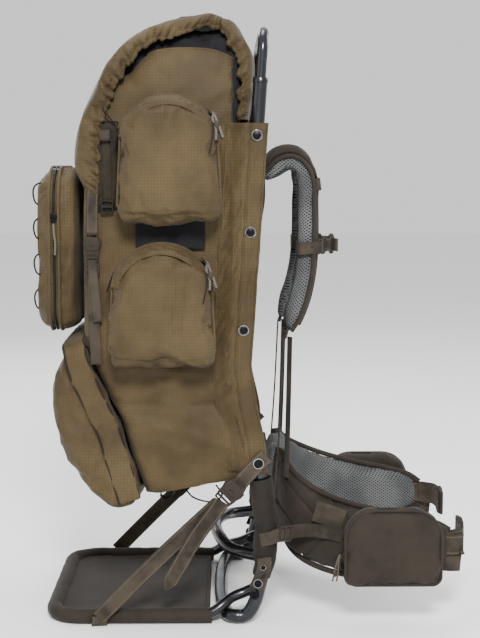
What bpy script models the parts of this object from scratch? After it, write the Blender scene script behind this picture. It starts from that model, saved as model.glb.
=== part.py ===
"""External-frame hunting backpack, standing on its folded-down load shelf.

Run it with: blender --background --python part.py
Metres, +Z up. The harness and hip belt face +Y, the pockets face -Y, and +X is the wearer's right.
"""

import math

import bmesh
import bpy
from mathutils import Matrix, Vector

# Frame: one upright on each side, given by its centre line in the side view as (y, z)
UPRIGHT_X = 0.176
UPRIGHT_RADIUS = 0.011
UPRIGHT_LINE = (
    (-0.0215, 0.0110),
    (-0.0175, 0.0110),
    (-0.0105, 0.0140),
    (-0.0040, 0.0220),
    (0.0015, 0.0330),
    (0.0060, 0.0460),
    (0.017, 0.098),
    (0.020, 0.155),
    (0.0135, 0.220),
    (0.004, 0.284),
    (-0.012, 0.355),
    (-0.020, 0.418),
    (-0.014, 0.505),
    (-0.0065, 0.613),
    (-0.0005, 0.705),
    (0.0030, 0.7567),
    (0.0065, 0.8083),
    (0.0100, 0.8600),
)
UPRIGHT_TOP_Z = 0.860
BAR_RADIUS = 0.008
BAR_END_X = UPRIGHT_X - UPRIGHT_RADIUS - 0.0005
UPPER_BAR_Z = 0.700
MIDDLE_BAR_Z = 0.450
BOW_RADIUS = 0.010
BOW_Z = 0.100
FOOT_Z = 0.011

# Top hoop, a thinner tube whose legs slide in the tops of the uprights
HOOP_RADIUS = 0.008
BORE_RADIUS = 0.0089
BORE_BOTTOM_Z = 0.7772
HOOP_LEG_BOTTOM_Z = 0.790
HOOP_BAR_Z = 0.932
HOOP_CORNER = 0.032

# Pins that hold the bag's side flaps to the uprights, and the bolts that carry the shelf
PIN_HEIGHTS = (0.263, 0.473, 0.625, 0.773)
PIN_RADIUS = 0.003
PIN_HEAD_RADIUS = 0.0085
PIN_HOLE_RADIUS = 0.0036
FLAP_X = 0.1895
FLAP_THICKNESS = 0.0024
FLAP_BOTTOM_Z = 0.248
FLAP_TOP_Z = 0.790
PIVOT = (0.001, 0.050)
BOLT_RADIUS = 0.004
BOLT_HOLE_RADIUS = 0.0046
LEG_X = 0.1535

# Load shelf: a bent tube in a fabric cover that lies on the ground
SHELF_TUBE_RADIUS = 0.0085
SHELF_TUBE_X = 0.1745
SHELF_TUBE_Z = 0.012
SHELF_FRONT_Y = -0.3225
SHELF_CORNER = 0.045
SHELF_REAR_Y = -0.0665
SHELF_BORDER = 0.0125
SHELF_HEIGHT = 0.0235
SHELF_PANEL_BOTTOM = 0.004
SHELF_PANEL_TOP = 0.010

# Bag: (front y, front z, back z, half width, how far the back corner flares out beside the upright)
BAG_WALL = 0.004
BAG_GAP = 0.0125
BAG_SECTIONS = (
    (-0.172, 0.208, 0.240, 0.170, 1.0),
    (-0.191, 0.262, 0.275, 0.172, 1.0),
    (-0.209, 0.320, 0.330, 0.172, 1.0),
    (-0.232, 0.370, 0.372, 0.172, 1.0),
    (-0.254, 0.420, 0.420, 0.172, 1.0),
    (-0.266, 0.455, 0.455, 0.172, 1.0),
    (-0.267, 0.550, 0.550, 0.172, 1.0),
    (-0.266, 0.650, 0.650, 0.172, 1.0),
    (-0.262, 0.740, 0.740, 0.172, 1.0),
    (-0.253, 0.800, 0.800, 0.172, 0.0),
    (-0.233, 0.850, 0.850, 0.170, 0.0),
    (-0.210, 0.885, 0.893, 0.160, 0.0),
    (-0.180, 0.904, 0.908, 0.142, 0.0),
    (-0.150, 0.925, 0.925, 0.122, 0.0),
)
FLARE_X = 0.1865
COLLAR_BACK_Y = -0.032

# Hood over the bag's mouth: (crown y, crown z, hem y, hem z, half width)
HOOD_CORNER = 0.030
HOOD_THICKNESS = 0.003
LID_HINGE = (-0.0555, 0.9600)
LID_SECTIONS = (
    (-0.0555, 0.9580, -0.0555, 0.937, 0.150),
    (-0.0670, 0.9625, -0.0750, 0.942, 0.150),
    (-0.0880, 0.9575, -0.0980, 0.936, 0.152),
    (-0.1200, 0.9520, -0.1250, 0.926, 0.155),
    (-0.1510, 0.9450, -0.1500, 0.920, 0.160),
    (-0.1880, 0.9250, -0.1750, 0.902, 0.168),
    (-0.2240, 0.8890, -0.2030, 0.868, 0.175),
    (-0.2560, 0.8290, -0.2250, 0.822, 0.177),
    (-0.2720, 0.7850, -0.2380, 0.780, 0.177),
    (-0.2790, 0.7370, -0.2420, 0.737, 0.177),
)
HOOD_BACK_SECTIONS = (
    (-0.0530, 0.9560, -0.0530, 0.936, 0.150),
    (-0.0310, 0.9475, -0.0400, 0.925, 0.152),
    (-0.0110, 0.9185, -0.0300, 0.905, 0.154),
    (-0.0010, 0.8965, -0.0220, 0.885, 0.158),
    (0.0015, 0.8720, -0.0200, 0.868, 0.160),
    (-0.0020, 0.8310, -0.0220, 0.831, 0.160),
    (-0.0040, 0.7970, -0.0240, 0.797, 0.158),
)

# Pockets
SIDE_POCKET_INNER_X = 0.176
SIDE_POCKET_OUTER_X = 0.239
UPPER_POCKET = {"middle": -0.1295, "half": 0.0775, "bottom": 0.643, "top": 0.831, "arch": 0.0855}
LOWER_POCKET = {"middle": -0.1412, "half": 0.0797, "bottom": 0.422, "top": 0.607, "arch": 0.0880}
SIDE_SLIDER_ANGLE = math.radians(48)
FRONT_POCKET = {"half": 0.125, "bottom": 0.462, "top": 0.725, "back": -0.2815, "front": -0.344}
BOTTOM_POCKET_HALF = 0.170
BOTTOM_POCKET_LINE = (
    (-0.278, 0.4415),
    (-0.2975, 0.429),
    (-0.310, 0.406),
    (-0.314, 0.379),
    (-0.3127, 0.347),
    (-0.3046, 0.294),
    (-0.289, 0.258),
    (-0.268, 0.229),
    (-0.251, 0.209),
    (-0.228, 0.190),
    (-0.212, 0.184),
    (-0.190, 0.188),
    (-0.1765, 0.202),
    (-0.1945, 0.262),
    (-0.2125, 0.320),
    (-0.2355, 0.370),
    (-0.2575, 0.420),
    (-0.2680, 0.444),
)
BELT_POCKET = {"rear": 0.142, "front": 0.294, "bottom": 0.073, "top": 0.194, "corner": 0.045}
BELT_POCKET_INNER_X = 0.1912
BELT_POCKET_OUTER_X = 0.2250
SLIDER_GAP = 0.0008

# Straps that tie the hood and the shelf
LID_STRAP_X = 0.1765
LID_STRAP_Y = -0.2505
LID_STRAP_WIDTH = 0.019
LID_STRAP_TOP_Z = 0.7345
LID_BUCKLE_Z = 0.600
CATCH_BOTTOM_Z = 0.420
SHELF_STRAP_X = 0.1950
SHELF_STRAP_TOP = (-0.0550, 0.2005)
SHELF_STRAP_END = (-0.2460, 0.0145)
SHELF_BUCKLE_CENTRE = (-0.0360, 0.2190)
WEBBING = 0.025

# Harness
PANEL_HALF_X = 0.060
PANEL_Y = (0.0125, 0.0205)
PANEL_Z = (0.560, 0.722)
PAD_WIDTH = 0.062
PAD_THICKNESS = 0.018
PAD_LINE = (
    (0.060, 0.0340, 0.7270),
    (0.062, 0.0460, 0.7400),
    (0.066, 0.0640, 0.7435),
    (0.071, 0.0810, 0.7300),
    (0.077, 0.0890, 0.7050),
    (0.084, 0.0915, 0.6700),
    (0.092, 0.0920, 0.6200),
    (0.100, 0.0890, 0.5650),
    (0.108, 0.0800, 0.5200),
    (0.114, 0.0660, 0.4850),
    (0.118, 0.0550, 0.4680),
)
LOWER_WEB_LINE = (
    (0.120, 0.0490, 0.4540),
    (0.128, 0.0440, 0.3400),
    (0.136, 0.0390, 0.2600),
    (0.142, 0.0340, 0.2000),
)
STERNUM_Z = 0.597
STERNUM_LINE = (
    (0.118, 0.1050),
    (0.092, 0.1065),
    (0.062, 0.1120),
    (0.030, 0.1280),
    (0.000, 0.1320),
)

# Hip belt: (x, y, bottom z, top z) along one wing
LUMBAR_HALF_X = 0.080
LUMBAR_Z = (0.130, 0.265)
LUMBAR_Y = (0.026, 0.052)
WING_HINGE = (0.0875, 0.052)
WING_THICKNESS = 0.026
WING_LINE = (
    (0.0915, 0.052, 0.128, 0.262),
    (0.1180, 0.057, 0.112, 0.250),
    (0.1430, 0.070, 0.101, 0.236),
    (0.1620, 0.092, 0.091, 0.222),
    (0.1735, 0.122, 0.082, 0.208),
    (0.1770, 0.155, 0.076, 0.197),
    (0.1770, 0.200, 0.075, 0.186),
    (0.1770, 0.250, 0.082, 0.176),
    (0.1750, 0.290, 0.094, 0.165),
    (0.1680, 0.312, 0.106, 0.152),
)
BELT_WEB_LINE = ((0.1615, 0.3270), (0.1550, 0.3350), (0.1400, 0.3395), (0.0990, 0.3395))
BELT_WEB_Z = (0.111, 0.149)
BELT_WEB_THICKNESS = 0.009

# Finish of each kind of material: colour, roughness, metallic
FINISHES = {
    "tube": ((0.055, 0.058, 0.063), 0.30, 0.90),
    "steel": ((0.55, 0.55, 0.54), 0.30, 1.0),
    "ripstop": ((0.216, 0.150, 0.075), 0.85, 0.0),
    "nylon": ((0.098, 0.078, 0.060), 0.80, 0.0),
    "webbing": ((0.120, 0.098, 0.074), 0.75, 0.0),
    "mesh": ((0.075, 0.078, 0.080), 0.85, 0.0),
    "plastic": ((0.060, 0.050, 0.042), 0.45, 0.0),
}

PART_COLLECTION = "hunting_backpack"
CUTTER_COLLECTION = "cutters"


def clear_scene():
    for obj in list(bpy.data.objects):
        bpy.data.objects.remove(obj, do_unlink=True)


def new_collection(name):
    made = bpy.data.collections.new(name)
    bpy.context.scene.collection.children.link(made)
    return made


def finish_of(kind, name):
    colour, roughness, metallic = FINISHES[kind]
    material = bpy.data.materials.new(name)
    material.use_nodes = True
    shader = material.node_tree.nodes["Principled BSDF"]
    shader.inputs["Base Color"].default_value = (*colour, 1.0)
    shader.inputs["Roughness"].default_value = roughness
    shader.inputs["Metallic"].default_value = metallic
    material.diffuse_color = (*colour, 1.0)
    return material


def add_part(obj, kind):
    """Link a finished object as a part, with a material of its own."""
    obj.data.materials.clear()
    obj.data.materials.append(finish_of(kind, obj.name + "_finish"))
    bpy.data.collections[PART_COLLECTION].objects.link(obj)
    return obj


def as_cutter(obj):
    """Move an object to the cutters, where it shapes other parts and isn't one itself."""
    for owner in list(obj.users_collection):
        owner.objects.unlink(obj)
    bpy.data.collections[CUTTER_COLLECTION].objects.link(obj)
    obj.hide_render = True
    obj.display_type = "WIRE"
    return obj


def smooth_line(points, count):
    """Points along a smooth curve through the given ones, count to each stretch."""
    places = [Vector(p) for p in points]
    places = [2 * places[0] - places[1], *places, 2 * places[-1] - places[-2]]
    line = []
    for before, start, end, after in zip(places, places[1:], places[2:], places[3:]):
        for step in range(count):
            t = step / count
            line.append(
                0.5
                * (
                    2 * start
                    + (end - before) * t
                    + (2 * before - 5 * start + 4 * end - after) * t**2
                    + (3 * start - before - 3 * end + after) * t**3
                )
            )
    line.append(places[-2])
    return line


def arc_points(centre, radius, start, end, count):
    """Points of an arc in a plane, with the angles in degrees."""
    angles = (math.radians(start + (end - start) * i / count) for i in range(count + 1))
    return [(centre[0] + radius * math.cos(a), centre[1] + radius * math.sin(a)) for a in angles]


def upright_y(z):
    """Where the centre line of the uprights lies at a height."""
    for (y0, z0), (y1, z1) in zip(UPRIGHT_LINE, UPRIGHT_LINE[1:]):
        if z <= z1:
            break
    return y0 + (y1 - y0) * (z - z0) / (z1 - z0)


def tube_object(name, points, radius, sides=3):
    curve = bpy.data.curves.new(name, "CURVE")
    curve.dimensions = "3D"
    curve.bevel_depth = radius
    curve.bevel_resolution = sides
    curve.use_fill_caps = True
    spline = curve.splines.new("POLY")
    spline.points.add(len(points) - 1)
    for point, place in zip(spline.points, points):
        point.co = (*place, 1.0)
    return bpy.data.objects.new(name, curve)


def closed_copy(obj):
    """A curve as a closed mesh of the same name, ready to be cut or to cut."""
    bpy.context.scene.collection.objects.link(obj)
    bpy.context.view_layer.update()
    graph = bpy.context.evaluated_depsgraph_get()
    mesh = bpy.data.meshes.new_from_object(obj.evaluated_get(graph))
    shape = bmesh.new()
    shape.from_mesh(mesh)
    bmesh.ops.remove_doubles(shape, verts=shape.verts, dist=0.00001)
    bmesh.ops.recalc_face_normals(shape, faces=shape.faces)
    shape.to_mesh(mesh)
    shape.free()
    name, matrix = obj.name, obj.matrix_world.copy()
    bpy.data.objects.remove(obj, do_unlink=True)
    solid = bpy.data.objects.new(name, mesh)
    solid.matrix_world = matrix
    return solid


def solid_tube(name, points, radius, sides=3):
    return closed_copy(tube_object(name, points, radius, sides))


def rod_along_x(name, start_x, end_x, y, z, radius):
    """A plain round cutter across the pack."""
    return solid_tube(name, [(start_x, y, z), (end_x, y, z)], radius, sides=4)


def combine(obj, tool, operation):
    """Cut a part with another object, or join that object to it."""
    modifier = obj.modifiers.new(tool.name, "BOOLEAN")
    modifier.operation = operation
    modifier.object = as_cutter(tool)
    return obj


def mesh_object(name, shape):
    mesh = bpy.data.meshes.new(name)
    shape.to_mesh(mesh)
    shape.free()
    return bpy.data.objects.new(name, mesh)


def grid_object(name, rows, closed=False, cap_start=False):
    """A surface through rows of points, each row a line, or a ring where closed is set."""
    shape = bmesh.new()
    lines = [[shape.verts.new(place) for place in row] for row in rows]
    across = len(lines[0])
    for near, far in zip(lines, lines[1:]):
        for i in range(across if closed else across - 1):
            k = (i + 1) % across
            shape.faces.new((near[i], near[k], far[k], far[i]))
    if cap_start:
        shape.faces.new(lines[0])
    bmesh.ops.recalc_face_normals(shape, faces=shape.faces)
    return mesh_object(name, shape)


def thicken(obj, thickness, offset=0.0):
    modifier = obj.modifiers.new("thickness", "SOLIDIFY")
    modifier.thickness = thickness
    modifier.offset = offset
    modifier.use_even_offset = True
    return obj


def round_edges(obj, width, segments=2, angle=50):
    modifier = obj.modifiers.new("edges", "BEVEL")
    modifier.width = width
    modifier.segments = segments
    modifier.limit_method = "ANGLE"
    modifier.angle_limit = math.radians(angle)
    return obj


def strip_object(name, edges, thickness, rounding=0.0):
    """A band of even thickness between two edge lines, given as pairs of points."""
    obj = thicken(grid_object(name, edges), thickness)
    return round_edges(obj, rounding, segments=1) if rounding else obj


def box_object(name, low, high, rounding=0.0):
    shape = bmesh.new()
    middle = [(a + b) / 2 for a, b in zip(low, high)]
    sides = [b - a for a, b in zip(low, high)]
    matrix = Matrix.Translation(middle) @ Matrix.Diagonal((*sides, 1.0))
    bmesh.ops.create_cube(shape, size=1.0, matrix=matrix)
    obj = mesh_object(name, shape)
    return round_edges(obj, rounding) if rounding else obj


def slab_object(name, outline, half_thickness, rounding):
    """A flat outline with thickness and rounded rims, in its own X and Y."""
    curve = bpy.data.curves.new(name, "CURVE")
    curve.dimensions = "2D"
    curve.fill_mode = "BOTH"
    curve.extrude = half_thickness
    spline = curve.splines.new("POLY")
    spline.points.add(len(outline) - 1)
    for point, (x, y) in zip(spline.points, outline):
        point.co = (x, y, 0.0, 1.0)
    spline.use_cyclic_u = True
    obj = bpy.data.objects.new(name, curve)
    weld = obj.modifiers.new("weld", "WELD")
    weld.merge_threshold = 0.0001
    return round_edges(obj, rounding, segments=3, angle=60)


def face_x(obj, x):
    """Turn a slab so its outline lies in the side view, at a distance from the middle plane."""
    obj.rotation_euler = (math.pi / 2, 0.0, math.pi / 2)
    obj.location = (x, 0.0, 0.0)
    return obj


def face_y(obj, y):
    """Turn a slab so its outline lies in the front view."""
    obj.rotation_euler = (math.pi / 2, 0.0, 0.0)
    obj.location = (0.0, y, 0.0)
    return obj


def rounded_outline(low, high, corners, count=4):
    """A rectangle whose four corner radii run from the low one round to the last, anticlockwise."""
    centres = (
        (low[0] + corners[0], low[1] + corners[0], 180),
        (high[0] - corners[1], low[1] + corners[1], 270),
        (high[0] - corners[2], high[1] - corners[2], 0),
        (low[0] + corners[3], high[1] - corners[3], 90),
    )
    points = []
    for (x, y, start), radius in zip(centres, corners):
        points += arc_points((x, y), radius, start, start + 90, count)
    return points


def arch_outline(pocket):
    """A pocket front: square below, with one arc over the top."""
    radius = pocket["arch"]
    reach = math.degrees(math.asin(pocket["half"] / radius)) - 1
    centre = (pocket["middle"], pocket["top"] - radius)
    low = (pocket["middle"] - pocket["half"], pocket["bottom"])
    high_x = pocket["middle"] + pocket["half"]
    corner = 0.018
    outline = arc_points((low[0] + corner, low[1] + corner), corner, 180, 270, 3)
    outline += arc_points((high_x - corner, low[1] + corner), corner, 270, 360, 3)
    outline += arc_points(centre, radius, 90 - reach, 90 + reach, 22)
    return outline


def pin_object(name, side, y, z, profile):
    """A turned pin across the pack, from its profile of (x, radius), on one side."""
    shape = bmesh.new()
    points = [shape.verts.new((x, radius, 0.0)) for x, radius in profile]
    for near, far in zip(points, points[1:]):
        shape.edges.new((near, far))
    obj = mesh_object(name, shape)
    screw = obj.modifiers.new("turn", "SCREW")
    screw.axis = "X"
    screw.steps = 12
    screw.render_steps = 12
    screw.use_merge_vertices = True
    screw.merge_threshold = 0.00005
    screw.use_normal_flip = True
    obj.location = (0.0, y, z)
    if side < 0:
        obj.rotation_euler = (0.0, 0.0, math.pi)
    return obj


def carried(place, *parts):
    """Parent parts to an empty on their joint's axis, and leave them where they are."""
    name, spot = place
    empty = bpy.data.objects.new(name, None)
    empty.location = spot
    bpy.data.collections[PART_COLLECTION].objects.link(empty)
    for part in parts:
        part.parent = empty
        part.matrix_parent_inverse = Matrix.Translation(-Vector(spot))
    return empty


def sides():
    return (("right", 1.0), ("left", -1.0))


def shaded(obj):
    """Smooth shading with sharp rims on a mesh part."""
    for face in obj.data.polygons:
        face.use_smooth = True
    obj.data.set_sharp_from_angle(angle=math.radians(40))
    return obj


def make_uprights():
    line = smooth_line([(0.0, y, z) for y, z in UPRIGHT_LINE], 3)
    slope = Vector((0.0, *UPRIGHT_LINE[-1])) - Vector((0.0, *UPRIGHT_LINE[-2]))
    top = Vector((0.0, *UPRIGHT_LINE[-1]))
    bottom = top - slope * (UPRIGHT_TOP_Z - BORE_BOTTOM_Z) / slope.z
    for label, side in sides():
        shift = Vector((side * UPRIGHT_X, 0.0, 0.0))
        obj = solid_tube("upright_" + label, [p + shift for p in line], UPRIGHT_RADIUS)
        bore = [bottom + shift, top + slope + shift]
        combine(obj, solid_tube("bore_" + label, bore, BORE_RADIUS), "DIFFERENCE")
        ends = side * (UPRIGHT_X - 0.02), side * (UPRIGHT_X + 0.02)
        for number, z in enumerate(PIN_HEIGHTS, 1):
            hole = rod_along_x(f"pin_hole_{label}_{number}", *ends, upright_y(z), z, PIN_HOLE_RADIUS)
            combine(obj, hole, "DIFFERENCE")
        hole = rod_along_x("bolt_hole_" + label, *ends, *PIVOT, BOLT_HOLE_RADIUS)
        combine(obj, hole, "DIFFERENCE")
        add_part(obj, "tube")


def make_bars():
    for name, z in (("crossbar_upper", UPPER_BAR_Z), ("crossbar_middle", MIDDLE_BAR_Z)):
        y = upright_y(z)
        bow = y - 0.003
        points = [(-BAR_END_X, y, z), (-0.09, bow, z), (0.0, bow, z), (0.09, bow, z), (BAR_END_X, y, z)]
        add_part(tube_object(name, smooth_line(points, 3), BAR_RADIUS), "tube")
    y = upright_y(BOW_Z)
    half = [(BAR_END_X, y, BOW_Z), (0.158, y, BOW_Z), (0.146, y - 0.008, 0.101)]
    half += [(0.115, -0.034, 0.104), (0.06, -0.054, 0.110)]
    points = half + [(0.0, -0.061, 0.112)] + [(-x, y_, z) for x, y_, z in reversed(half)]
    add_part(tube_object("bow_bar", smooth_line(points, 4), BOW_RADIUS), "tube")
    half = [(UPRIGHT_X, -0.0236, FOOT_Z), (UPRIGHT_X, -0.0275, FOOT_Z), (0.171, -0.0370, FOOT_Z)]
    half += [(0.150, -0.0435, FOOT_Z), (0.08, -0.0505, FOOT_Z)]
    points = half + [(0.0, -0.052, FOOT_Z)] + [(-x, y_, z) for x, y_, z in reversed(half)]
    add_part(tube_object("bottom_hoop", smooth_line(points, 4), FOOT_Z), "tube")


def make_pins():
    head = FLAP_X + FLAP_THICKNESS / 2 + 0.0005
    tip = UPRIGHT_X - UPRIGHT_RADIUS - 0.004
    profile = (
        (tip, 0.0),
        (tip, PIN_RADIUS),
        (head, PIN_RADIUS),
        (head, PIN_HEAD_RADIUS),
        (head + 0.0012, PIN_HEAD_RADIUS),
        (head + 0.0020, PIN_HEAD_RADIUS - 0.0012),
        (head + 0.0020, 0.0),
    )
    for label, side in sides():
        for number, z in enumerate(PIN_HEIGHTS, 1):
            pin = pin_object(f"frame_pin_{label}_{number}", side, upright_y(z), z, profile)
            add_part(pin, "steel")
    inner = LEG_X - SHELF_TUBE_RADIUS - 0.0006
    outer = UPRIGHT_X + UPRIGHT_RADIUS + 0.0006
    profile = (
        (inner - 0.005, 0.0),
        (inner - 0.005, 0.0065),
        (inner, 0.0065),
        (inner, BOLT_RADIUS),
        (outer, BOLT_RADIUS),
        (outer, 0.008),
        (outer + 0.003, 0.007),
        (outer + 0.003, 0.0),
    )
    for label, side in sides():
        add_part(pin_object("shelf_bolt_" + label, side, *PIVOT, profile), "steel")


def make_sleeves():
    """Fabric sleeves round the lower uprights, open on the inside where the bow bar meets them."""
    heights = [0.068, 0.098, 0.125, 0.155, 0.185, 0.208, 0.230]
    for label, side in sides():
        line = [(side * UPRIGHT_X, upright_y(z), z) for z in heights]
        longer = [(side * UPRIGHT_X, upright_y(z), z) for z in (0.055, *heights, 0.245)]
        obj = solid_tube("leg_sleeve_" + label, line, 0.0185)
        combine(obj, solid_tube("sleeve_bore_" + label, longer, 0.0125), "DIFFERENCE")
        window = rod_along_x(
            "sleeve_window_" + label, side * 0.150, side * 0.172, upright_y(BOW_Z), BOW_Z, 0.0135
        )
        combine(obj, window, "DIFFERENCE")
        add_part(obj, "nylon")


def make_top_hoop():
    slope = Vector((0.0, *UPRIGHT_LINE[-1])) - Vector((0.0, *UPRIGHT_LINE[-2]))
    top = Vector((0.0, *UPRIGHT_LINE[-1]))

    def on_axis(x, z):
        point = top + slope * (z - UPRIGHT_TOP_Z) / slope.z
        return (x, point.y, z)

    leg_top = HOOP_BAR_Z - HOOP_CORNER
    corner = arc_points((UPRIGHT_X - HOOP_CORNER, leg_top), HOOP_CORNER, 0, 90, 6)
    half = [(UPRIGHT_X, HOOP_LEG_BOTTOM_Z), (UPRIGHT_X, 0.84), *corner]
    outline = half + [(-x, z) for x, z in reversed(half)]
    points = [on_axis(x, z) for x, z in outline]
    hoop = add_part(tube_object("top_hoop", points, HOOP_RADIUS), "tube")
    carried(("hoop_slide", on_axis(0.0, HOOP_BAR_Z)), hoop)


def shelf_tube_points():
    corner = arc_points(
        (SHELF_TUBE_X - SHELF_CORNER, SHELF_FRONT_Y + SHELF_CORNER), SHELF_CORNER, 0, -90, 6
    )
    leg = [
        (LEG_X, 0.0110, 0.0545),
        (LEG_X, PIVOT[0], PIVOT[1]),
        (LEG_X, -0.0160, 0.0425),
        (0.1590, -0.0340, 0.0365),
        (0.1690, -0.0480, 0.0285),
        (SHELF_TUBE_X, -0.0640, 0.0180),
        (SHELF_TUBE_X, -0.0820, SHELF_TUBE_Z),
    ]
    half = smooth_line(leg, 2) + [Vector((x, y, SHELF_TUBE_Z)) for x, y in corner]
    return half + [Vector((-p.x, p.y, p.z)) for p in reversed(half)]


def make_shelf():
    points = shelf_tube_points()
    tube = solid_tube("shelf_tube", points, SHELF_TUBE_RADIUS)
    for label, side in sides():
        ends = side * (LEG_X - 0.02), side * (LEG_X + 0.02)
        hole = rod_along_x("leg_hole_" + label, *ends, *PIVOT, BOLT_HOLE_RADIUS)
        combine(tube, hole, "DIFFERENCE")
    add_part(tube, "tube")

    outer_x = SHELF_TUBE_X + SHELF_BORDER
    inner_x = SHELF_TUBE_X - SHELF_BORDER
    front = SHELF_FRONT_Y - SHELF_BORDER
    rim = SHELF_CORNER + SHELF_BORDER
    hollow = SHELF_CORNER - SHELF_BORDER
    outline = rounded_outline((-outer_x, front), (outer_x, SHELF_REAR_Y), (rim, rim, 0.006, 0.006), 5)
    cover = slab_object("shelf_cover", outline, SHELF_HEIGHT / 2, 0.006)
    cover.location = (0.0, 0.0, SHELF_HEIGHT / 2)
    cover = closed_copy(cover)
    well = rounded_outline(
        (-inner_x, SHELF_FRONT_Y + SHELF_BORDER), (inner_x, 0.0), (hollow, hollow, 0.01, 0.01), 5
    )
    for name, low, high in (
        ("shelf_well_top", SHELF_PANEL_TOP, 0.04),
        ("shelf_well_bottom", -0.02, SHELF_PANEL_BOTTOM),
    ):
        cutter = slab_object(name, well, (high - low) / 2, 0.001)
        cutter.location = (0.0, 0.0, (low + high) / 2)
        combine(cover, closed_copy(cutter), "DIFFERENCE")
    combine(cover, solid_tube("shelf_tube_path", points, SHELF_TUBE_RADIUS + 0.0006), "DIFFERENCE")
    add_part(cover, "nylon")
    carried(("shelf_pivot", (0.0, *PIVOT)), tube, cover)


def bag_ring(front_y, front_z, back_z, half, flare):
    """One level section of the bag, as a ring of points from the middle of its back."""
    back_y = upright_y(back_z) - BAG_GAP if flare else COLLAR_BACK_Y
    if flare:
        side_points = [
            (0.176, back_y),
            (FLARE_X, back_y - 0.006),
            (FLARE_X - 0.001, back_y - 0.012),
            (FLARE_X - 0.009, back_y - 0.020),
            (half + 0.0005, back_y - 0.027),
        ]
    else:
        side_points = [
            (half - 0.012, back_y),
            (half - 0.002, back_y - 0.010),
            (half, back_y - 0.018),
            (half, back_y - 0.024),
            (half, back_y - 0.030),
        ]
    right = [
        (0.080, back_y),
        (half - 0.024, back_y),
        *side_points,
        (half, (front_y + back_y) / 2),
        (half, front_y + 0.045),
        (half - 0.004, front_y + 0.018),
        (half - 0.017, front_y + 0.004),
        (half - 0.037, front_y),
        (0.070, front_y),
    ]
    outline = [(0.0, back_y), *right, (0.0, front_y), *[(-x, y) for x, y in reversed(right)]]
    depth = front_y - back_y
    return [(x, y, back_z + (front_z - back_z) * (y - back_y) / depth) for x, y in outline]


def make_bag():
    rings = [bag_ring(*section) for section in BAG_SECTIONS]
    bag = grid_object("main_bag", rings, closed=True, cap_start=True)
    add_part(thicken(shaded(bag), BAG_WALL, offset=-1.0), "ripstop")
    heights = [FLAP_BOTTOM_Z, 0.285, 0.320, 0.355, 0.390, 0.420, 0.460, 0.505, 0.560, 0.613, 0.705, FLAP_TOP_Z]
    for label, side in sides():
        x = side * FLAP_X
        edges = [((x, upright_y(z) - 0.020, z), (x, upright_y(z) + 0.017, z)) for z in heights]
        flap = thicken(grid_object("frame_flap_" + label, edges), FLAP_THICKNESS)
        for number, z in enumerate(PIN_HEIGHTS, 1):
            ends = x - side * 0.01, x + side * 0.01
            hole = rod_along_x(f"flap_hole_{label}_{number}", *ends, upright_y(z), z, PIN_HOLE_RADIUS)
            combine(flap, hole, "DIFFERENCE")
        add_part(flap, "ripstop")


def hood_row(crown_y, crown_z, hem_y, hem_z, half):
    """One line across the hood, from the right hem over the crown to the left hem."""
    steps = (
        (half, 0.0),
        (half, 0.50),
        (half - 0.3 * HOOD_CORNER, 0.86),
        (half - HOOD_CORNER, 1.0),
        (0.5 * half, 1.0),
        (0.0, 1.0),
    )
    right = [
        (x, hem_y + (crown_y - hem_y) * t, hem_z + (crown_z - hem_z) * t) for x, t in steps
    ]
    return right + [(-x, y, z) for x, y, z in reversed(right[:-1])]


def make_hood():
    rows = [hood_row(*section) for section in HOOD_BACK_SECTIONS]
    hood_back = grid_object("hood_back", rows)
    add_part(thicken(shaded(hood_back), HOOD_THICKNESS), "ripstop")
    rows = [hood_row(*section) for section in LID_SECTIONS]
    lid = add_part(thicken(shaded(grid_object("lid", rows)), HOOD_THICKNESS), "ripstop")
    moving = [lid]
    for label, side in sides():
        x = side * LID_STRAP_X
        low, high = LID_STRAP_Y - LID_STRAP_WIDTH / 2, LID_STRAP_Y + LID_STRAP_WIDTH / 2
        strap = strip_object(
            "lid_strap_" + label,
            [((x, low, z), (x, high, z)) for z in (LID_BUCKLE_Z + 0.004, 0.66, LID_STRAP_TOP_Z)],
            0.002,
        )
        block = (x - 0.0035, low - 0.003, LID_BUCKLE_Z + 0.0015), (x + 0.0035, high + 0.003, LID_BUCKLE_Z + 0.026)
        combine(strap, box_object("strap_tongue_" + label, *block), "UNION")
        moving.append(add_part(strap, "webbing"))
        catch = strip_object(
            "lid_catch_" + label,
            [((x, low, z), (x, high, z)) for z in (CATCH_BOTTOM_Z, 0.50, LID_BUCKLE_Z - 0.004)],
            0.002,
        )
        block = (x - 0.0035, low - 0.003, LID_BUCKLE_Z - 0.030), (x + 0.0035, high + 0.003, LID_BUCKLE_Z - 0.001)
        combine(catch, box_object("catch_body_" + label, *block), "UNION")
        add_part(catch, "webbing")
    carried(("lid_hinge", (0.0, *LID_HINGE)), *moving)


def slider_object(name, x, radius, angle, centre):
    """A zip slider sitting just outside an arch, at an angle from its top."""
    low = radius + SLIDER_GAP
    shape = box_object(name, (-0.005, -0.006, low), (0.005, 0.006, low + 0.0042), 0.001)
    shape.location = (x, *centre)
    shape.rotation_euler = (-angle, 0.0, 0.0)
    return add_part(shape, "plastic")


def make_side_pockets():
    half = (SIDE_POCKET_OUTER_X - SIDE_POCKET_INNER_X) / 2
    middle_x = (SIDE_POCKET_OUTER_X + SIDE_POCKET_INNER_X) / 2
    for level, pocket in (("upper", UPPER_POCKET), ("lower", LOWER_POCKET)):
        centre = (pocket["middle"], pocket["top"] - pocket["arch"])
        for label, side in sides():
            name = f"side_pocket_{level}_{label}"
            slab = slab_object(name, arch_outline(pocket), half, 0.012)
            add_part(face_x(slab, side * middle_x), "ripstop")
            slider_name = f"zip_slider_{level}_{label}"
            slider = slider_object(
                slider_name, side * middle_x, pocket["arch"], SIDE_SLIDER_ANGLE, centre
            )
            spot = (side * middle_x, *centre)
            matrix = slider.matrix_basis.copy()
            carried((f"zip_arc_{level}_{label}", spot), slider)
            slider.matrix_basis = matrix


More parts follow.
